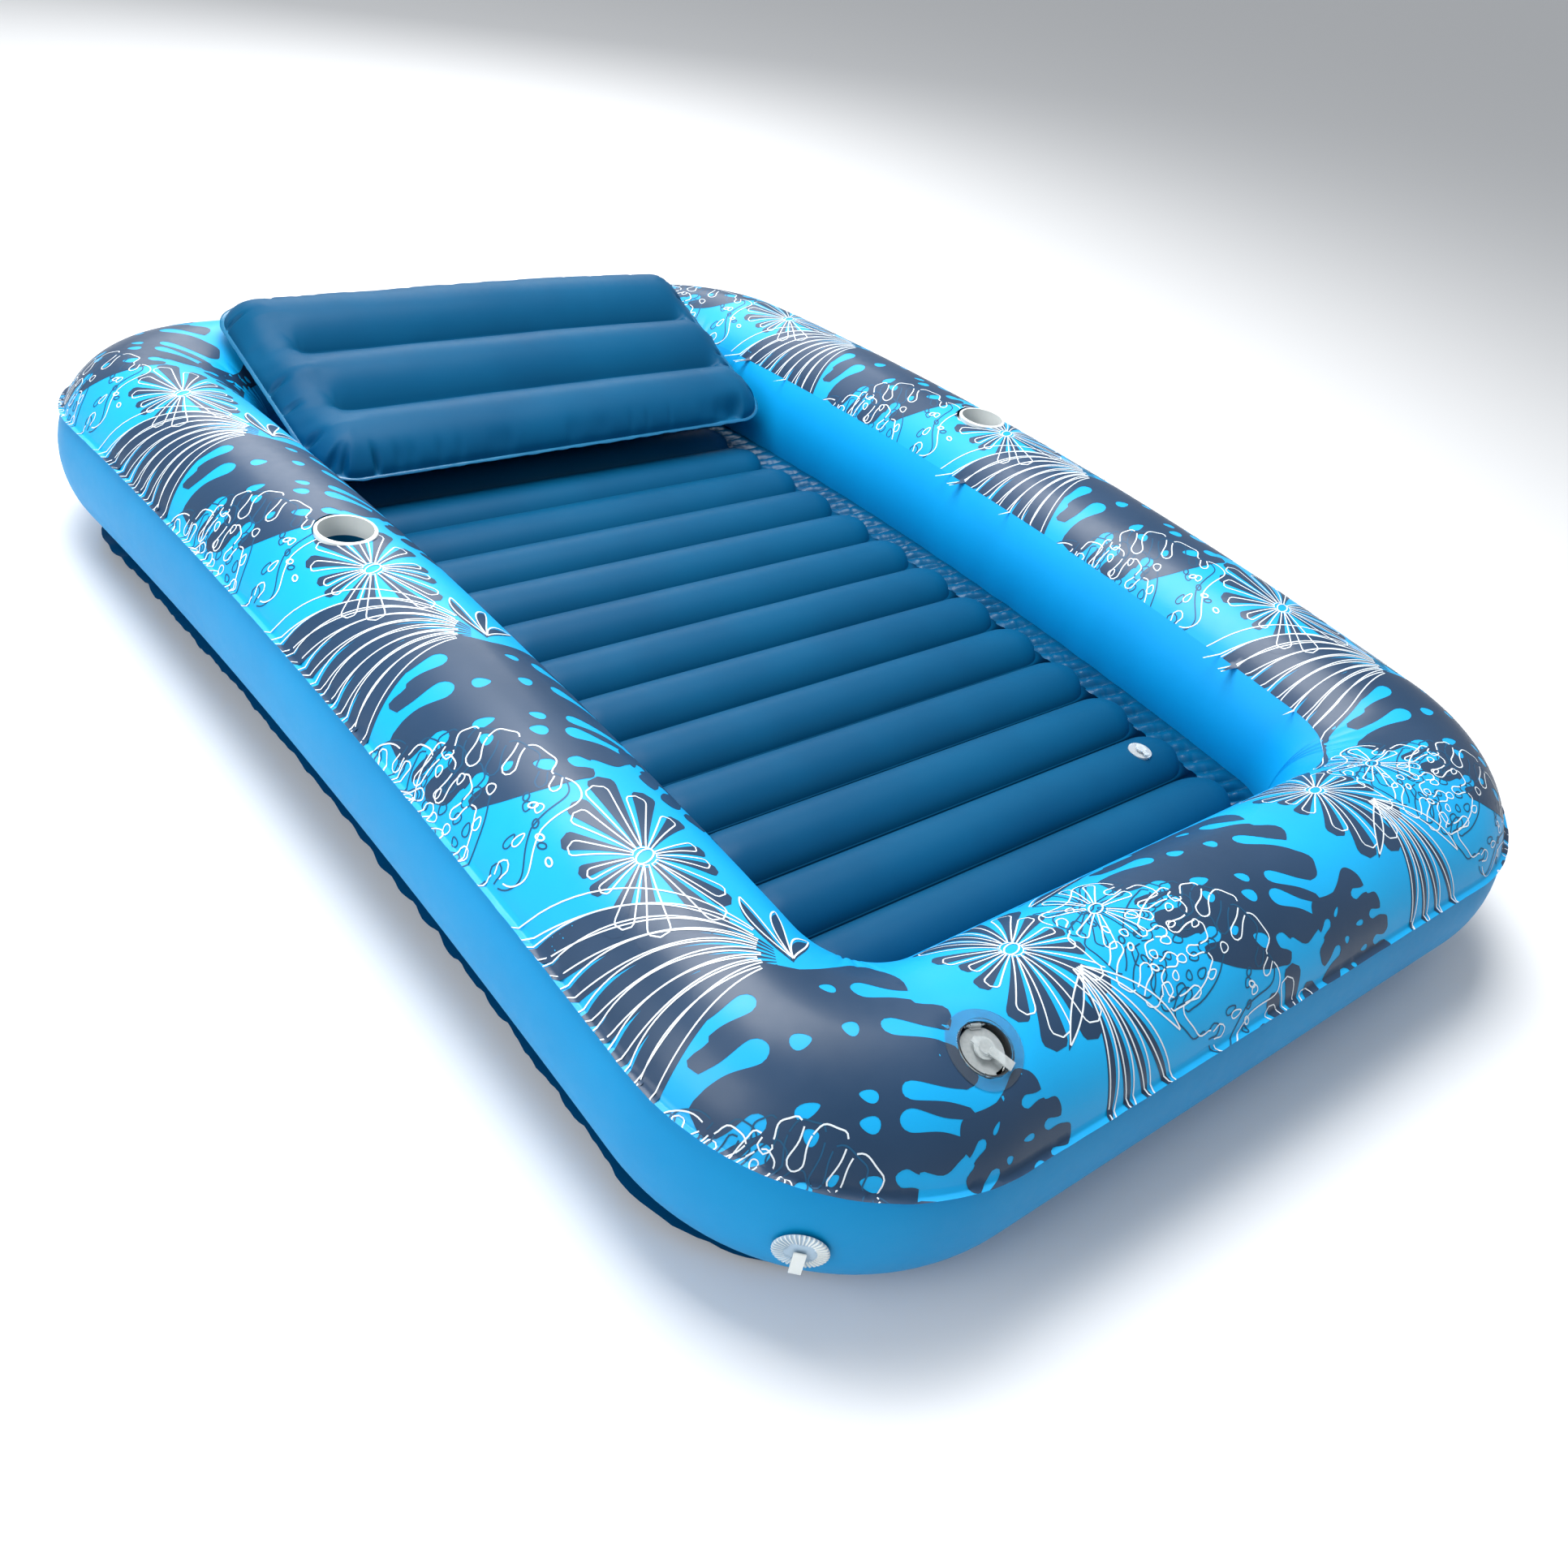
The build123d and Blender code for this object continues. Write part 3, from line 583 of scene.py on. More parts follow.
def leaf_shape(length, width, cuts, seed):
    """A split heart-shaped leaf pointing along +Y from its stalk: its outline, its open slots and its holes."""
    rng = random.Random(seed)
    mouths = {}
    for side in (1, -1):
        mouths[side] = [0.42 + 1.95 * (k + rng.uniform(0.25, 0.75)) / cuts for k in range(cuts)]

    def rim(side, phi):
        x = side * width * math.sin(phi) ** 0.86
        y = length * (0.5 + 0.5 * math.cos(phi)) - 0.17 * length * math.exp(-(((phi - 2.5) / 0.42) ** 2))
        return x, y

    outline = []
    for side in (1, -1):
        phis = np.linspace(0.0, math.pi, 90)
        line = []
        for phi in phis:
            nearest = min(abs(phi - mouth) for mouth in mouths[side])
            swell = 0.06 - 0.17 * math.exp(-((nearest / 0.10) ** 2))
            for mouth in mouths[side]:
                swell += 0.04 * math.exp(-(((phi - mouth + 0.12) / 0.08) ** 2))
            x, y = rim(side, phi)
            line.append((x * (1 + swell), length * 0.45 + (y - length * 0.45) * (1 + swell)))
        outline.extend(line if side == 1 else line[::-1][1:-1])
    outline = np.array(outline)
    slots, holes = [], []
    for side in (1, -1):
        for mouth in mouths[side]:
            x, y = rim(side, mouth)
            root = np.array((0.0, y - length * rng.uniform(0.10, 0.18)))
            edge = np.array((x, y))
            start = root + (edge - root) * 1.16
            depth = rng.uniform(0.40, 0.62)
            end = root + (edge - root) * depth
            slots.append(finger(start, end, length * 0.036, length * rng.uniform(0.036, 0.052)))
            if rng.random() < 0.85:
                at = root + (edge - root) * depth * 0.45 + (0, length * rng.uniform(0.03, 0.06))
                a, b = length * rng.uniform(0.018, 0.034), length * rng.uniform(0.03, 0.056)
                ring = np.linspace(0, 2 * math.pi, 18, endpoint=False)
                pear = 1 + 0.35 * np.sin(ring)
                lean = math.degrees(math.atan2(*(edge - root))) + rng.uniform(-14, 14)
                holes.append(turned(np.c_[a * pear * np.cos(ring), b * np.sin(ring)], -lean, at))
    return outline, slots, holes


def solid_leaf(place, angle, length, width, cuts, seed, lift):
    """A split leaf filled with navy, its slots and holes left open."""
    outline, slots, holes = leaf_shape(length, width, cuts, seed)
    shift = [turned(shape, angle, place) for shape in [outline] + slots + holes]
    filled(navy_ink, shift[0], shift[1:], lift)


def drawn_leaf(place, angle, length, width, cuts, seed, ink, pen_width):
    """A split leaf in line only: the outline dips into each slot, and its holes are small rings."""
    outline, slots, holes = leaf_shape(length, width, cuts, seed)
    parts = []
    for slot_line in slots:
        inside = inside_loop(slot_line, outline)
        if inside.any():
            first = int(np.argmax(~inside))
            parts.append(np.roll(slot_line, -first, 0)[np.roll(inside, -first)])
    blocked = np.zeros(len(outline), bool)
    for slot_line in slots:
        blocked |= inside_loop(outline, slot_line)
    runs, run = [], []
    start = int(np.argmax(blocked))
    for i in range(len(outline)):
        j = (i + start) % len(outline)
        if blocked[j]:
            if len(run) > 2:
                runs.append(run)
            run = []
        else:
            run.append(outline[j])
    if len(run) > 2:
        runs.append(run)
    for line in runs + parts:
        if len(line) > 2:
            pen(ink, turned(line, angle, place), pen_width)
    for hole in holes:
        pen(ink, turned(hole, angle, place), pen_width * 0.9, closed=True)


def swept(start, bend, end, count=30):
    """Points on a curve that leaves start towards bend and arrives at end."""
    t = np.linspace(0, 1, count)[:, None]
    start, bend, end = (np.array(place, float) for place in (start, bend, end))
    return (1 - t) ** 2 * start + 2 * t * (1 - t) * bend + t * t * end


def slender(half, t, peak=1.25, blunt=0.8):
    """Half widths of a leaf along its middle line, widest past its middle."""
    return half * np.sin(np.pi * np.clip(t, 0.015, 0.992) ** peak) ** blunt


def fan(place, seed, lift):
    """A palm fan: long leaflets that leave one root upwards and sweep out past the seam."""
    rng = random.Random(seed)
    leaves = 9
    for k in range(leaves):
        share = k / (leaves - 1)
        tip = np.array((-292 + 24 * math.sin(math.pi * share), 232 - 282 * share + rng.uniform(-6, 6)))
        bend = np.array((-34 - 96 * share, 158 - 138 * share))
        spine = place + swept((-3 - 4 * share, 6 - 10 * share), bend, tip)
        t = np.linspace(0, 1, len(spine))
        halves = slender(rng.uniform(12.0, 15.0), t, peak=1.9)
        if k:
            blade(navy_ink, spine[2:], halves[2:], lift + 0.012 * (k % 3))
        aside = np.array((rng.uniform(-2, 3), rng.uniform(3, 7)))
        line = blade_outline(spine[4:] + aside, halves[4:] * 0.84)
        pen(white_ink, line, 1.8, lift=0.02 * (k % 4))
    for way, size in ((88, 96), (58, 88), (24, 66)):
        a = math.radians(way)
        tip = np.array((math.cos(a), math.sin(a))) * size
        spine = place + swept((0, 0), tip * 0.6 + (-12, 8), tip, 20)
        halves = slender(7.5, np.linspace(0, 1, 20))
        blade(navy_ink, spine, halves, lift, columns=2)
        pen(white_ink, blade_outline(spine + (4, 5), halves), 2.1)


def swords(place, seed, lift):
    """Narrow upright leaves from one root, navy with loose white outlines."""
    rng = random.Random(seed)
    for k, (x, y) in enumerate(((-42, -196), (-6, -208), (34, -204), (74, -190), (100, -120), (-70, -70))):
        tip = np.array((x, y)) * rng.uniform(0.95, 1.05)
        spine = place + swept((k * 3 - 6, 0), tip * 0.5 + (14, 10), tip, 24)
        halves = slender(6.5, np.linspace(0, 1, 24), peak=1.5)
        if k != 4:
            blade(navy_ink, spine, halves, lift + 0.01 * (k % 2), columns=2)
        pen(white_ink, blade_outline(spine + (5, 4), halves * 1.1), 2.1, lift=0.02 * (k % 3))


def flower(place, petals, long, short, seed, lift, ink=None):
    """A flower seen aslant: long petals fore and aft and short ones beside, navy with white ones set aside."""
    rng = random.Random(seed)
    for k in range(petals):
        way = 2 * math.pi * (k + rng.uniform(-0.2, 0.2)) / petals
        size = (short + (long - short) * abs(math.sin(way)) ** 1.4) * rng.uniform(0.88, 1.08)
        t = np.linspace(0, 1, 22)
        out = np.array((math.cos(way), math.sin(way)))
        spine = place + np.outer(13 + t * size * 0.86, out)
        round_end = np.sqrt(np.clip(1 - np.clip((t - 0.86) / 0.14, 0, 1) ** 2, 0, 1))
        halves = (2.0 + 10.5 * t ** 1.3) * round_end * size / 100 + 0.4
        if ink is None:
            second = place + np.outer(16 + t * size * 0.95, (math.cos(way - 0.10), math.sin(way - 0.10)))
            blade(navy_ink, second, halves * 1.25, lift, columns=3)
        pen(ink or white_ink, blade_outline(spine, halves), 1.8, lift=0.02 * (k % 3), closed=True)
    ring = np.linspace(0, 2 * np.pi, 19)[:-1]
    pen(ink or white_ink, turned(np.c_[13 * np.cos(ring), 7.5 * np.sin(ring)], 20, place), 2.1, closed=True)


def beads(place, way, count, size, seed):
    """A row of small drawn ovals."""
    rng = random.Random(seed)
    for k in range(count):
        at = place + np.array((math.cos(way), math.sin(way))) * k * size * 3.4
        at = at + (rng.uniform(-4, 4), rng.uniform(-4, 4))
        turn = np.linspace(0, 2 * np.pi, 15)[:-1]
        oval = np.c_[size * 0.7 * np.cos(turn), size * 1.1 * np.sin(turn)]
        pen(white_ink if k % 2 else dark_ink, turned(oval, rng.uniform(-50, 50), at), 2.2, closed=True)


REPEAT_X, REPEAT_Y = 640.0, 612.0
COLUMN_SHIFT = 18.0


def make_print():
    """Lays the motifs over the whole sheet: one group, repeated on a grid."""
    for i, j in itertools.product(range(-1, 4), repeat=2):

        def at(x, y):
            return np.array((x + i * REPEAT_X, y + j * REPEAT_Y + COLUMN_SHIFT * i), float)

        lift = 0.03 * ((i + 2 * j) % 3)
        fan(at(-592, -790), 5, lift)
        solid_leaf(at(-598, -812), 158, 262, 146, 5, 8, lift + 0.09)
        solid_leaf(at(-500, -1036), 192, 150, 74, 4, 21, lift + 0.06)
        drawn_leaf(at(-722, -492), 20, 178, 92, 4, 31, white_ink, 1.9)
        drawn_leaf(at(-730, -482), 25, 182, 96, 4, 31, dark_ink, 2.0)
        drawn_leaf(at(-214, -862), 196, 175, 84, 4, 41, white_ink, 1.9)
        drawn_leaf(at(-206, -872), 201, 175, 86, 4, 41, dark_ink, 2.0)
        swords(at(-312, -950), 51, lift + 0.12)
        flower(at(-350, -886), 14, 122, 66, 61, lift + 0.15)
        flower(at(-650, -600), 13, 116, 60, 67, lift + 0.15)
        flower(at(-845, -905), 9, 66, 60, 63, lift, ink=white_ink)
        flower(at(-852, -897), 9, 66, 60, 63, lift, ink=dark_ink)
        beads(at(-706, -452), -1.9, 6, 5.2, 71)
        beads(at(-232, -905), -1.3, 6, 5.2, 73)
    for ink in (navy_ink, dark_ink, white_ink):
        ink.make()


tube_panel("ring_outer_film", LOWER_SEAM, OUTER_SEAM, WIDE_ROWS, BLUE, "ring_outer_wall")
tube_panel("ring_inner_film", INNER_SEAM, FLOOR_SEAM, NARROW_ROWS, BRIGHT_BLUE, "ring_inner_wall")
tube_panel("ring_base_film", LOWER_SEAM, FLOOR_SEAM - 360, WIDE_ROWS, NAVY, "ring_base_panel", lower_lip)
printed_panel()
make_print()


# ---------------------------------------------------------------- mattress
CHAMBER_HALF = 50.9
CHAMBER_RISE = CHAMBER_TOP - WELD_HEIGHT
CHAMBER_RADIUS = (CHAMBER_HALF ** 2 + CHAMBER_RISE ** 2) / (2 * CHAMBER_RISE)
MIRROR_HEIGHT = 190.0
FULL_RISE = 34.0
PLEAT_PITCH = 27.0
PLEAT_HEIGHT = 5.6
PLEAT_SLANT = 22.0


def chamber_rows():
    """The mattress across its welds: each row's chamber middle and place in it from -1 to 1, with the welds doubled."""
    rows = []
    for chamber in range(CHAMBERS):
        middle = FIRST_WELD - PITCH * (chamber + 0.5)
        for u in [1.0] + list(np.sin(np.radians(np.linspace(90, -90, 23)))) + [-1.0]:
            rows.append((middle, u))
    return rows


def mattress(name, side, replaced):
    """One sheet of the mattress: rounded chambers that close in fingers at both ends."""
    tip = 62.0
    inner = MATTRESS_HALF + 8 - tip
    xs = list(np.linspace(0, inner, 12)) + list(inner + tip * np.sin(np.radians(np.linspace(8, 90, 16))))
    xs = [-x for x in xs[::-1][:-1]] + xs
    rows = chamber_rows()
    per = len(rows) // CHAMBERS
    points = []
    for number, (middle, u) in enumerate(rows):
        k = number % per
        for x in xs:
            past = max(0.0, (abs(x) - inner) / tip)
            close = math.sqrt(max(0.0, 1 - past ** 2.2))
            rise = CHAMBER_RISE * close ** 0.9
            on_weld = k in (0, per - 1)
            y = middle + u * (PITCH / 2 if on_weld else CHAMBER_HALF * max(close, 0.02) ** 0.95)
            z = WELD_HEIGHT
            if rise > 0.4 and not on_weld:
                drop = CHAMBER_RADIUS - math.sqrt(max(0.0, CHAMBER_RADIUS ** 2 - (CHAMBER_HALF * u) ** 2))
                z += (CHAMBER_RISE - drop) * rise / CHAMBER_RISE
            points.append((x, y, z))
    points = np.array(points)
    near = np.clip((np.abs(points[:, 0]) - 300) / 90, 0, 1)
    for strength, size, seed in ((near * 0.9, 42, 81), (0.35, 210, 82)):
        ripple = strength * waves(points[:, 0], points[:, 1], size, seed)
        points[:, 2] += ripple * (points[:, 2] - WELD_HEIGHT) / FULL_RISE
    if side < 0:
        points[:, 2] = MIRROR_HEIGHT - points[:, 2]
    faces = grid_faces(len(rows), len(xs), flip=side < 0)
    piece = mesh_piece(name, arched(points), faces, NAVY)
    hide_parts(replaced)


def pleats():
    """The gathered strip between the mattress and the inner wall."""
    low_y, high_y = FIRST_WELD - PITCH * CHAMBERS - 2, FIRST_WELD + 2
    count, core, way = round_spine(2.3)
    run = np.arange(count) * PERIMETER / count
    outer = tube(core, way, np.full(count, FLOOR_SEAM), np.zeros(count))
    inner = np.c_[
        np.clip(outer[:, 0], -MATTRESS_HALF - 2, MATTRESS_HALF + 2),
        np.clip(outer[:, 1], low_y, high_y),
        np.full(count, WELD_HEIGHT - 1),
    ]
    # Gathers run aslant, so the inner end of each lies a little further along
    on_side = np.abs(way[:, 0]) > 0.9
    inner[on_side, 1] = np.clip(inner[on_side, 1] + PLEAT_SLANT, low_y, high_y)
    strength = np.where(on_side, 1.0, 0.4) * (0.75 + 0.5 * waves(run, run * 0, 260, 93))
    sheets = []
    for share in np.linspace(0, 1, NARROW_ROWS):
        p = inner + (outer - inner) * share
        body = math.sin(math.pi * min(1.0, share * 1.02)) ** 0.7 if share < 0.98 else 0.0
        drift = 0.7 * waves(run, share * 60 + run * 0, 90, 92)
        phase = run / PLEAT_PITCH * 2 * math.pi + 2.2 * waves(run, run * 0, 210, 91) + drift
        ridge = (np.abs(np.sin(phase / 2)) ** 0.8) * 2 - 1
        drop = (outer[:, 2] - inner[:, 2]) * (share ** 1.5 - share)
        p[:, 2] += drop + PLEAT_HEIGHT * body * ridge * strength + 1.4 * body * waves(p[:, 0], p[:, 1], 16, 94)
        sheets.append(p)
    faces = grid_faces(NARROW_ROWS, count, close_columns=True, flip=True)
    points = arched(np.array(sheets).reshape(-1, 3))
    piece = mesh_piece("floor_pleated_strip", points, faces, PLEAT)
    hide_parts("floor_gusset")


mattress("mattress_top", 1, "floor_top_sheet")
mattress("mattress_bottom", -1, "floor_bottom_sheet")
pleats()


# ---------------------------------------------------------------- pillow
LOW_EDGE = (495.0, 193.0)
HIGH_EDGE = (915.0, 350.0)
PILLOW_HALF = 465.0
PILLOW_FLANGE = 7.0
PILLOW_CORNER = 62.0
CORNER_RUN = 97.0
SINK = 14.0
LEFT_END = 86.0
RIGHT_END = 40.0
STRIP_HALF = 430.0


# The pillow's low edge, its length up its slope, and the ways up the slope and out of its face
PILLOW_LOW, PILLOW_HIGH = arched(np.array([(0, *LOW_EDGE), (0, *HIGH_EDGE)]))
PILLOW_REACH = float(np.linalg.norm(PILLOW_HIGH - PILLOW_LOW))
PILLOW_UP = (PILLOW_HIGH - PILLOW_LOW) / PILLOW_REACH
PILLOW_OUT = np.cross((1, 0, 0), PILLOW_UP)


def pillow_outline_gap(x, y, half_y):
    """How far points lie inside the pillow's rounded outline, and how far along it their nearest place is."""
    p, q = np.abs(x) - (PILLOW_HALF - PILLOW_CORNER), np.abs(y) - (half_y - PILLOW_CORNER)
    in_corner = (p > 0) & (q > 0)
    gap = np.where(in_corner, PILLOW_CORNER - np.hypot(p, q), PILLOW_CORNER - np.maximum(p, q))
    angle = np.arctan2(np.maximum(q, 0), np.maximum(p, 0))
    along = np.where(in_corner, angle * PILLOW_CORNER, np.where(p > q, q, CORNER_RUN - p))
    # The shifts give each quarter puckers of its own
    return np.maximum(gap, 0), along + 1000 * (x > 0) + 2300 * (y > 0)


def crown(gap, width, power=0.62):
    """A rounded rise: 0 at the edge, 1 from width inwards."""
    return np.clip(1 - (1 - np.clip(gap / width, 0, 1)) ** 2, 0, 1) ** power


def pillow_place(x, y, off):
    """Points on the pillow: it is drawn in at its low edge, between the side tubes, and spreads over the head tube."""
    v = np.clip(y / PILLOW_REACH + 0.5, 0, 1)
    held = x * (1 + 0.036 * v - 0.004) + 15 * v - 15 + 12 * v * (x > 0) * (x / PILLOW_HALF) ** 4
    sunk = SINK * v * np.clip(x / PILLOW_HALF, 0, 1) ** 2
    base = PILLOW_LOW + np.outer(y + PILLOW_REACH / 2, PILLOW_UP) + np.outer(off, PILLOW_OUT)
    base[:, 0] = held
    base[:, 2] -= sunk
    return base


def pillow_sheet(name, side, rise, replaced):
    """One sheet of the pillow: three chambers that run together at their ends, with puckers at the seam."""
    half_y = PILLOW_REACH / 2
    nx, ny = ((230, 120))
    ease = np.sin(np.radians(np.linspace(-90, 90, nx)))
    xs = PILLOW_HALF * (0.55 * ease + 0.45 * np.linspace(-1, 1, nx))
    ease = np.sin(np.radians(np.linspace(-90, 90, ny)))
    ys = half_y * (0.55 * ease + 0.45 * np.linspace(-1, 1, ny))
    x, y = [g.ravel() for g in np.meshgrid(xs, ys)]
    # The square corners of the grid are drawn onto quarter rounds
    p = np.clip((np.abs(x) - PILLOW_HALF) / PILLOW_CORNER + 1, 0, 1)
    q = np.clip((np.abs(y) - half_y) / PILLOW_CORNER + 1, 0, 1)
    x = np.sign(x) * (np.abs(x) - PILLOW_CORNER * p * (1 - np.sqrt(1 - q * q / 2)))
    y = np.sign(y) * (np.abs(y) - PILLOW_CORNER * q * (1 - np.sqrt(1 - p * p / 2)))
    gap, along = pillow_outline_gap(x, y, half_y)
    # Past the welds' ends the chambers run together
    left_open = 1 / (1 + np.exp((x + PILLOW_HALF - LEFT_END) / 8))
    right_open = 1 / (1 + np.exp((PILLOW_HALF - RIGHT_END - x) / 6))
    opened = np.clip(left_open + right_open, 0, 1)
    welds = np.ones(x.shape)
    for weld in (-PILLOW_REACH / 6, PILLOW_REACH / 6):
        dip = crown(np.abs(y - weld), 75.0, 0.85)
        rounded = 0.62 + 0.38 * np.clip(np.abs(y - weld) / 70, 0, 1) ** 1.5
        welds = welds * (dip * (1 - opened) + rounded * opened)
        # Pulls run out from each weld's end into the rounded ends
        for end, spread in ((-PILLOW_HALF + LEFT_END, 1.0), (PILLOW_HALF - RIGHT_END, 0.6)):
            across, beyond = y - weld, np.abs(x - end)
            ray = np.abs(np.sin(2.5 * np.arctan2(across, beyond) + 0.5))
            welds = welds - 0.10 * spread * opened * (1 - ray) * np.exp(-np.hypot(across, beyond) / 30)
    h = rise * crown(gap, 74.0) * np.clip(welds, 0, 1)
    h = h + 1.2 * waves(x, y, 120, 101) * crown(gap, 60.0)
    pull = np.clip(1 - np.abs(waves(along, along * 0, 64, 102)) / 0.16, 0, 1)
    broad = 0.5 + 0.5 * waves(along, along * 0, 38, 103)
    near = np.exp(-((gap - 11) / 15) ** 2)
    at_end = np.clip((np.abs(x) - PILLOW_HALF + 150) / 60, 0.22, 1)
    h = h - rise * near * at_end * (0.38 * pull + 0.08 * broad)
    h = np.maximum(h, 0.0) * np.clip(gap / 2, 0, 1)
    points = pillow_place(x, y, side * (h + 0.8))
    faces = grid_faces(ny, nx, flip=side < 0)
    piece = mesh_piece(name, points, faces, NAVY, body="pillow")
    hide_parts(replaced)
    return piece


pillow_top = pillow_sheet("pillow_top", 1, 50.0, "pillow_top_sheet")
pillow_bottom = pillow_sheet("pillow_bottom", -1, 24.0, "pillow_bottom_sheet")


def pillow_flange():
    """The flat welded edge all round the pillow; its lighter navy colour is a painted highlight for the gloss along the
    thin rim.
    """
    loop = []
    w, h = PILLOW_HALF - PILLOW_CORNER, PILLOW_REACH / 2 - PILLOW_CORNER
    for cx, cy, start in ((w, h, 0), (-w, h, 90), (-w, -h, 180), (w, -h, 270)):
        for a in np.radians(np.linspace(start, start + 90, 13)):
            loop.append((cx + PILLOW_CORNER * math.cos(a), cy + PILLOW_CORNER * math.sin(a)))
    dense = []
    for a, b in zip(loop, loop[1:] + loop[:1]):
        a, b = np.array(a), np.array(b)
        count = max(1, int(np.linalg.norm(b - a) / 8))
        dense.extend(a + (b - a) * k / count for k in range(count))
    dense = np.array(dense)
    outward = -across_of(np.roll(dense, -1, 0) - np.roll(dense, 1, 0))
    sheets = []
    for offset, thick in ((-9, 0.5), (0, 0.9), (PILLOW_FLANGE, 0.6), (PILLOW_FLANGE, -0.6), (0, -0.9), (-9, -0.5)):
        p = dense + outward * offset
        wave = 2.4 * waves(dense[:, 0], dense[:, 1], 30, 111) * max(0, offset) / PILLOW_FLANGE
        sheets.append(pillow_place(p[:, 0], p[:, 1], wave + thick))
    faces = grid_faces(len(sheets), len(dense), close_columns=True)
    points = np.array(sheets).reshape(-1, 3)
    # The flange's lighter navy is a painted highlight along the pillow's rim.
    mesh_piece("pillow_weld_flange", points, faces, RIM_PAINTED_HIGHLIGHT, body="pillow")


pillow_flange()


# ---------------------------------------------------------------- hinge strip and tie patch
def hinge_strip():
    """The strip of film from the head tube's crown up into the seam of the pillow's rear edge."""
    foot = np.array((985.0, 318.8))
    bend = np.array((956.0, 319.6))
    top = np.array((909.0, 346.5))
    columns = 240
    xs = np.linspace(-STRIP_HALF, STRIP_HALF, columns)
    sunk = SINK * np.clip(xs / PILLOW_HALF, 0, 1) ** 2
    sheets = []
    for outer in (1, -1):
        shares = np.linspace(0, 1, 14)
        for t in shares if outer == 1 else shares[::-1]:
            y, z = (1 - t) ** 2 * foot + 2 * t * (1 - t) * bend + t * t * top
            loose = math.sin(math.pi * t)
            ripple = 1.3 * waves(xs, xs * 0 + 30 * t, 46, 121) * (0.3 + loose)
            sheets.append(np.c_[xs, y + ripple * loose, z - t * t * sunk + outer * 0.5 + ripple * 0.4 * loose])
    faces = grid_faces(len(sheets), columns, close_rows=True)
    points = arched(np.array(sheets).reshape(-1, 3))
    piece = mesh_piece("pillow_hinge_film", points, faces, NAVY, body=None)
    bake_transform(piece)
    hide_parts("pillow_hinge_strip")


def node_points(name):
    """A CAD node's points in the rest pose, in millimetres."""
    node = nodes[name]
    flat = np.empty(len(node.data.vertices) * 3)
    node.data.vertices.foreach_get("co", flat)
    world = np.array(node.matrix_world)
    return (flat.reshape(-1, 3) @ world[:3, :3].T + world[:3, 3]) / MM


def patch_frame():
    """The tie patch's centre, its outward direction, its level direction and the one down its face."""
    points = node_points("tie_patch")
    middle = (points.min(0) + points.max(0)) / 2
    out = np.linalg.svd(points - points.mean(0), full_matrices=False)[2][2]
    out = out * np.sign(out @ np.array((-1.0, -1.0, 0.0)))
    level = np.cross(out, (0, 0, 1))
    level /= np.linalg.norm(level)
    down = np.cross(out, level)
    return (middle, out, level, down) if down[2] <= 0 else (middle, out, -level, -down)


def tie_disc(middle, out, level, down):
    """The thin welded disc with raised ribs and a scalloped edge."""
    ribs, per_rib, rings, size = 36, 8, 18, 29.6
    count = ribs * per_rib
    angles = np.arange(count) * 2 * math.pi / count
    crest = np.cos(angles * ribs)
    ribbed = np.clip(crest * 1.6 + 0.15, 0, 1)

    def ring(radius, height):
        return (
            middle
            + np.outer(radius * np.cos(angles), level)
            + np.outer(radius * np.sin(angles), down)
            + np.outer(height, out)
        )

    rows = []
    for share in np.linspace(0.02, 1, rings):
        radius = size * share * (1 + 0.028 * crest * (share > 0.97))
        start = 0.52 + 0.05 * np.sin(angles * 5)
        rise = np.clip((share - start) / 0.06, 0, 1) * ribbed * 1.5
        height = -1.0 + 0.5 * (share < 0.97) + rise * (1 if share < 0.99 else 0.4) + (1 - share * share) * 0.6
        rows.append(ring(radius, height))
    rows.append(ring(size + 0.3, np.full(count, -2.6)))
    faces = grid_faces(len(rows), count, close_columns=True)
    faces.append(tuple(range(count))[::-1])
    disc = mesh_piece("tie_patch_disc", np.array(rows).reshape(-1, 3), faces, FROSTED)
    disc.data.materials.append(WHITE)
    for number, face in enumerate(disc.data.polygons):
        row, column = divmod(number, count)
        if rings / 2 < row < rings and ribbed[column] > 0.45:
            face.material_index = 1
    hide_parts("tie_patch")


def tie_strap(middle, out, level, down):
    """The folded strap that hangs from the disc's middle."""
    turn = np.linspace(0, 2 * math.pi, 41)[:-1]
    long = 19.0 * np.sign(np.cos(turn)) * np.abs(np.cos(turn)) ** 0.7
    thick = 2.6 * np.sign(np.sin(turn)) * np.abs(np.sin(turn)) ** 0.8
    lift = 3.4 + 0.05 * (long + 19.0)
    rows = []
    for side, inset in ((-6.6, 0.0), (-6.6, 1.0), (6.6, 1.0), (6.6, 0.0)):
        along = np.outer(15 + long * (1 - inset * 0.05), down)
        rows.append(middle + along + np.outer(thick * (1 - inset * 0.42) + lift, out) + level * side)
    faces = grid_faces(4, len(turn), close_rows=True, close_columns=True)
    strap = mesh_piece(
        "tie_strap_loop",
        np.array(rows).reshape(-1, 3),
        faces,
        WHITE,
        body="tie_strap",
        smooth=False,
    )
    bevel = strap.modifiers.new("soft_edges", "BEVEL")
    bevel.width = 0.0004
    bevel.segments = 2
    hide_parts("tie_strap")


hinge_strip()
patch = patch_frame()
tie_disc(*patch)
tie_strap(*patch)


# ---------------------------------------------------------------- CAD nodes that keep their shape
FINISHES = {
    "cup_ring_left": WHITE,
    "cup_ring_right": WHITE,
    "cup_well_left": NAVY,
    "cup_well_right": NAVY,
    "ring_valve_flange": FLANGE,
    "ring_valve_plug": MILKY,
    "ring_valve_door": MILKY,
}
for node_name, node in nodes.items():
    if node.hide_render:
        continue
    finish = FINISHES.get(node_name, CLEAR)
    node.data.materials.clear()
    node.data.materials.append(finish)

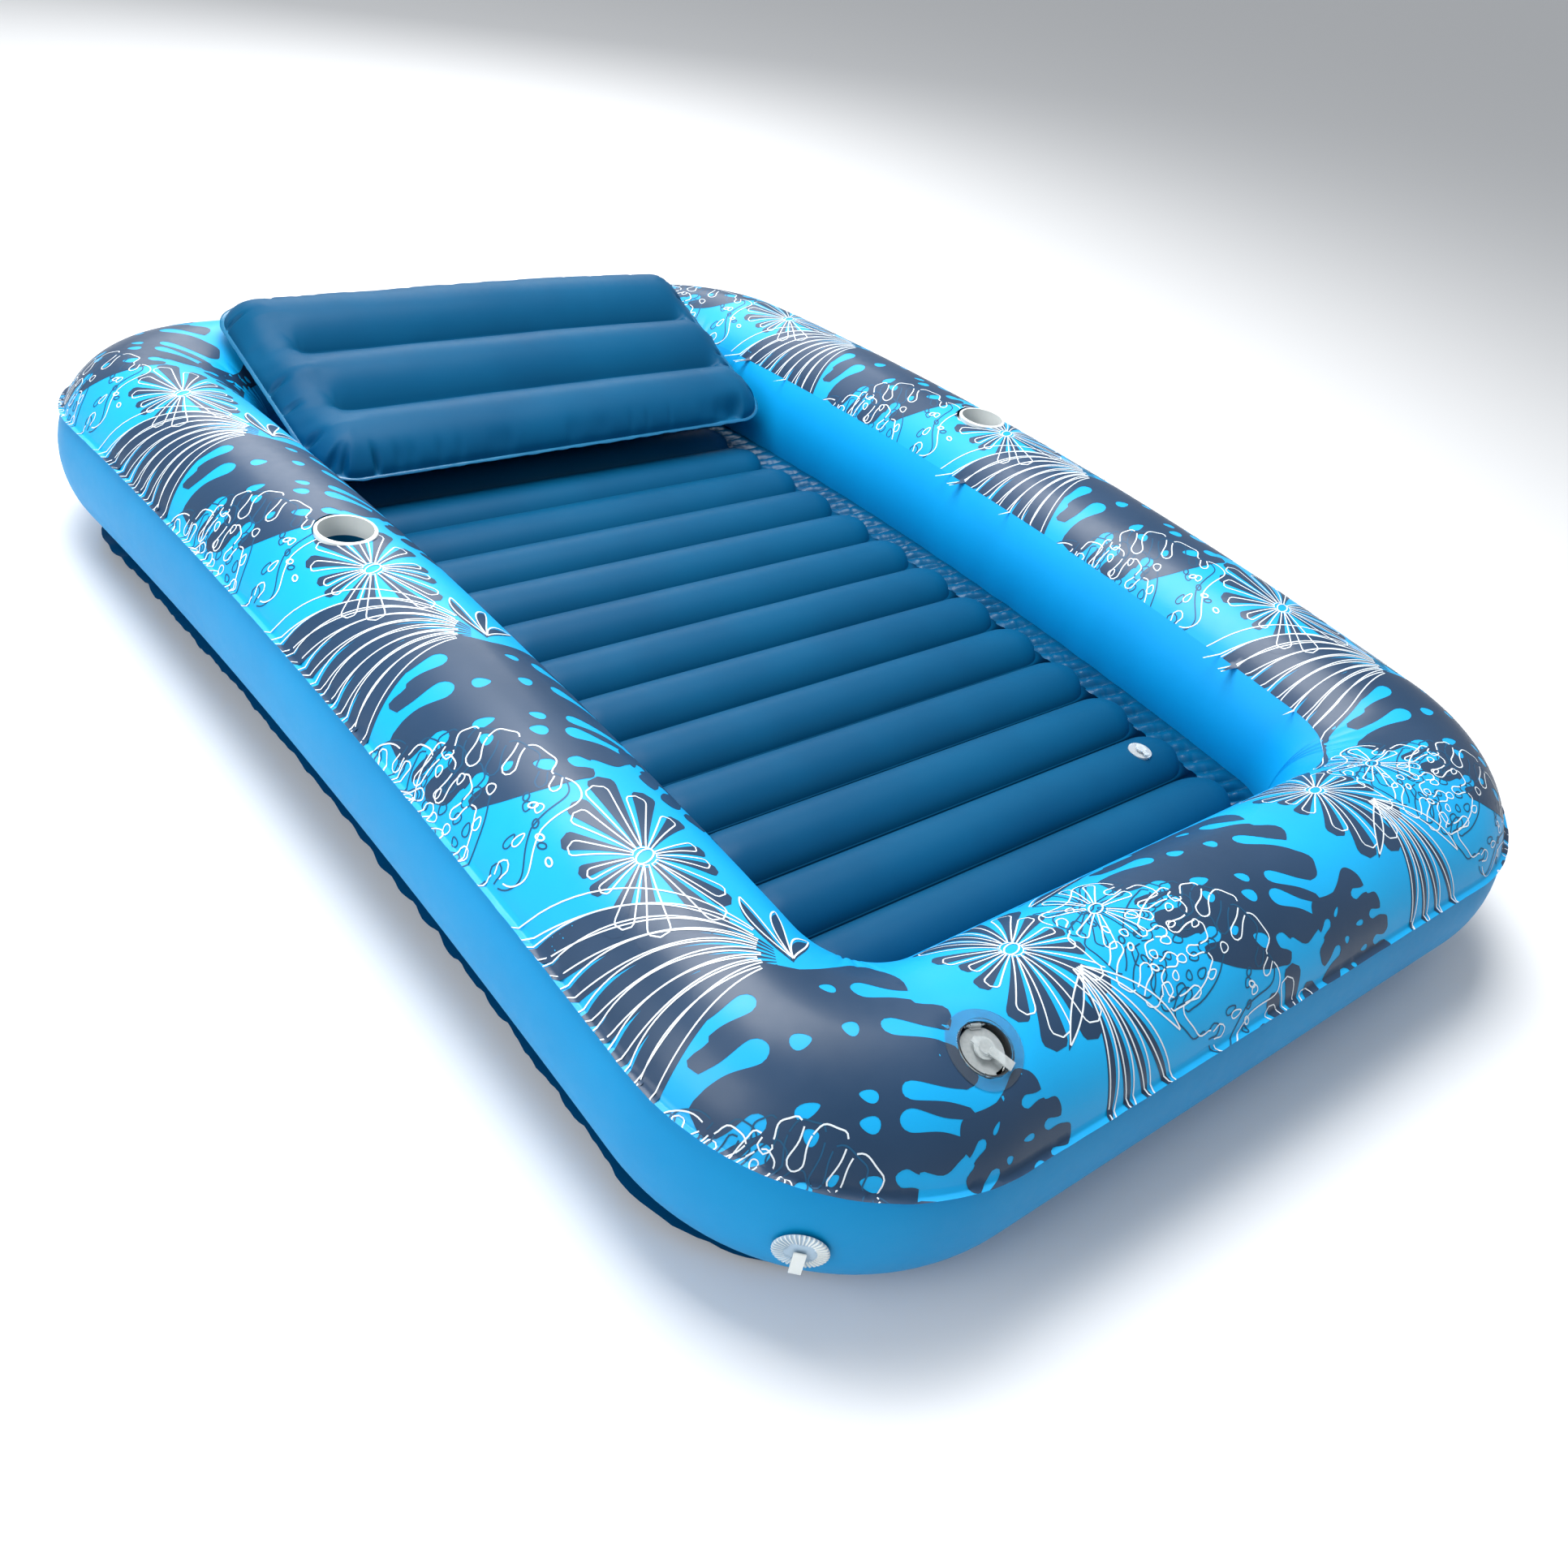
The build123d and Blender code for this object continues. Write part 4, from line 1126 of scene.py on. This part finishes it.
# ---------------------------------------------------------------- stage, lights, camera
floor_mesh = bpy.data.meshes.new("studio_floor")
floor_mesh.from_pydata([(-30, -30, 0), (30, -30, 0), (30, 30, 0), (-30, 30, 0)], [], [(0, 1, 2, 3)])
studio_floor = bpy.data.objects.new("studio_floor", floor_mesh)
studio_floor.location.z = -0.0005
bpy.context.scene.collection.objects.link(studio_floor)
floor_mat, _, _, floor_bsdf = material("studio_floor")
floor_bsdf.inputs["Base Color"].default_value = (0.88, 0.89, 0.90, 1)
floor_bsdf.inputs["Roughness"].default_value = 0.7
floor_mesh.materials.append(floor_mat)

bpy.context.scene.view_settings.view_transform = "Standard"
world = bpy.data.worlds.new("studio")
bpy.context.scene.world = world
world.use_nodes = True
background = world.node_tree.nodes["Background"]
background.inputs["Color"].default_value = (0.93, 0.96, 1.0, 1)
background.inputs["Strength"].default_value = 0.44


def softbox(name, place, target, size, power):
    """A rectangular area light that faces its target."""
    light = bpy.data.lights.new(name, "AREA")
    light.shape = "RECTANGLE"
    light.size, light.size_y = size
    light.energy = power
    lamp = bpy.data.objects.new(name, light)
    lamp.location = place
    lamp.rotation_euler = (Vector(target) - Vector(place)).to_track_quat("-Z", "Y").to_euler()
    bpy.context.scene.collection.objects.link(lamp)


softbox("overhead_softbox", (-0.2, 0.6, 3.4), (0, 0, 0), (2.6, 2.2), 185)
softbox("left_softbox", (-3.6, -0.6, 2.0), (0, 0, 0.1), (2.4, 1.8), 66)
softbox("back_softbox", (1.2, 3.8, 2.2), (0, 0, 0.1), (3.0, 1.6), 60)

CAMERA_PLACE = (-1.47431, -1.58452, 1.38451)
YAW, PITCH_DOWN, ROLL = 0.8117138, 0.6210625, 0.2156305
camera_data = bpy.data.cameras.new("camera")
camera_data.lens = 34.28
camera_data.sensor_width = 36.0
camera_data.clip_end = 100
camera = bpy.data.objects.new("camera", camera_data)
ahead = Vector((math.sin(YAW) * math.cos(PITCH_DOWN), math.cos(YAW) * math.cos(PITCH_DOWN), -math.sin(PITCH_DOWN)))
level = Vector((math.cos(YAW), -math.sin(YAW), 0))
above = level.cross(ahead)
camera_right = level * math.cos(ROLL) + above * math.sin(ROLL)
camera_up = above * math.cos(ROLL) - level * math.sin(ROLL)
turn = Matrix((camera_right, camera_up, -ahead)).transposed().to_4x4()
camera.matrix_world = Matrix.Translation(CAMERA_PLACE) @ turn
bpy.context.scene.collection.objects.link(camera)
bpy.context.scene.camera = camera
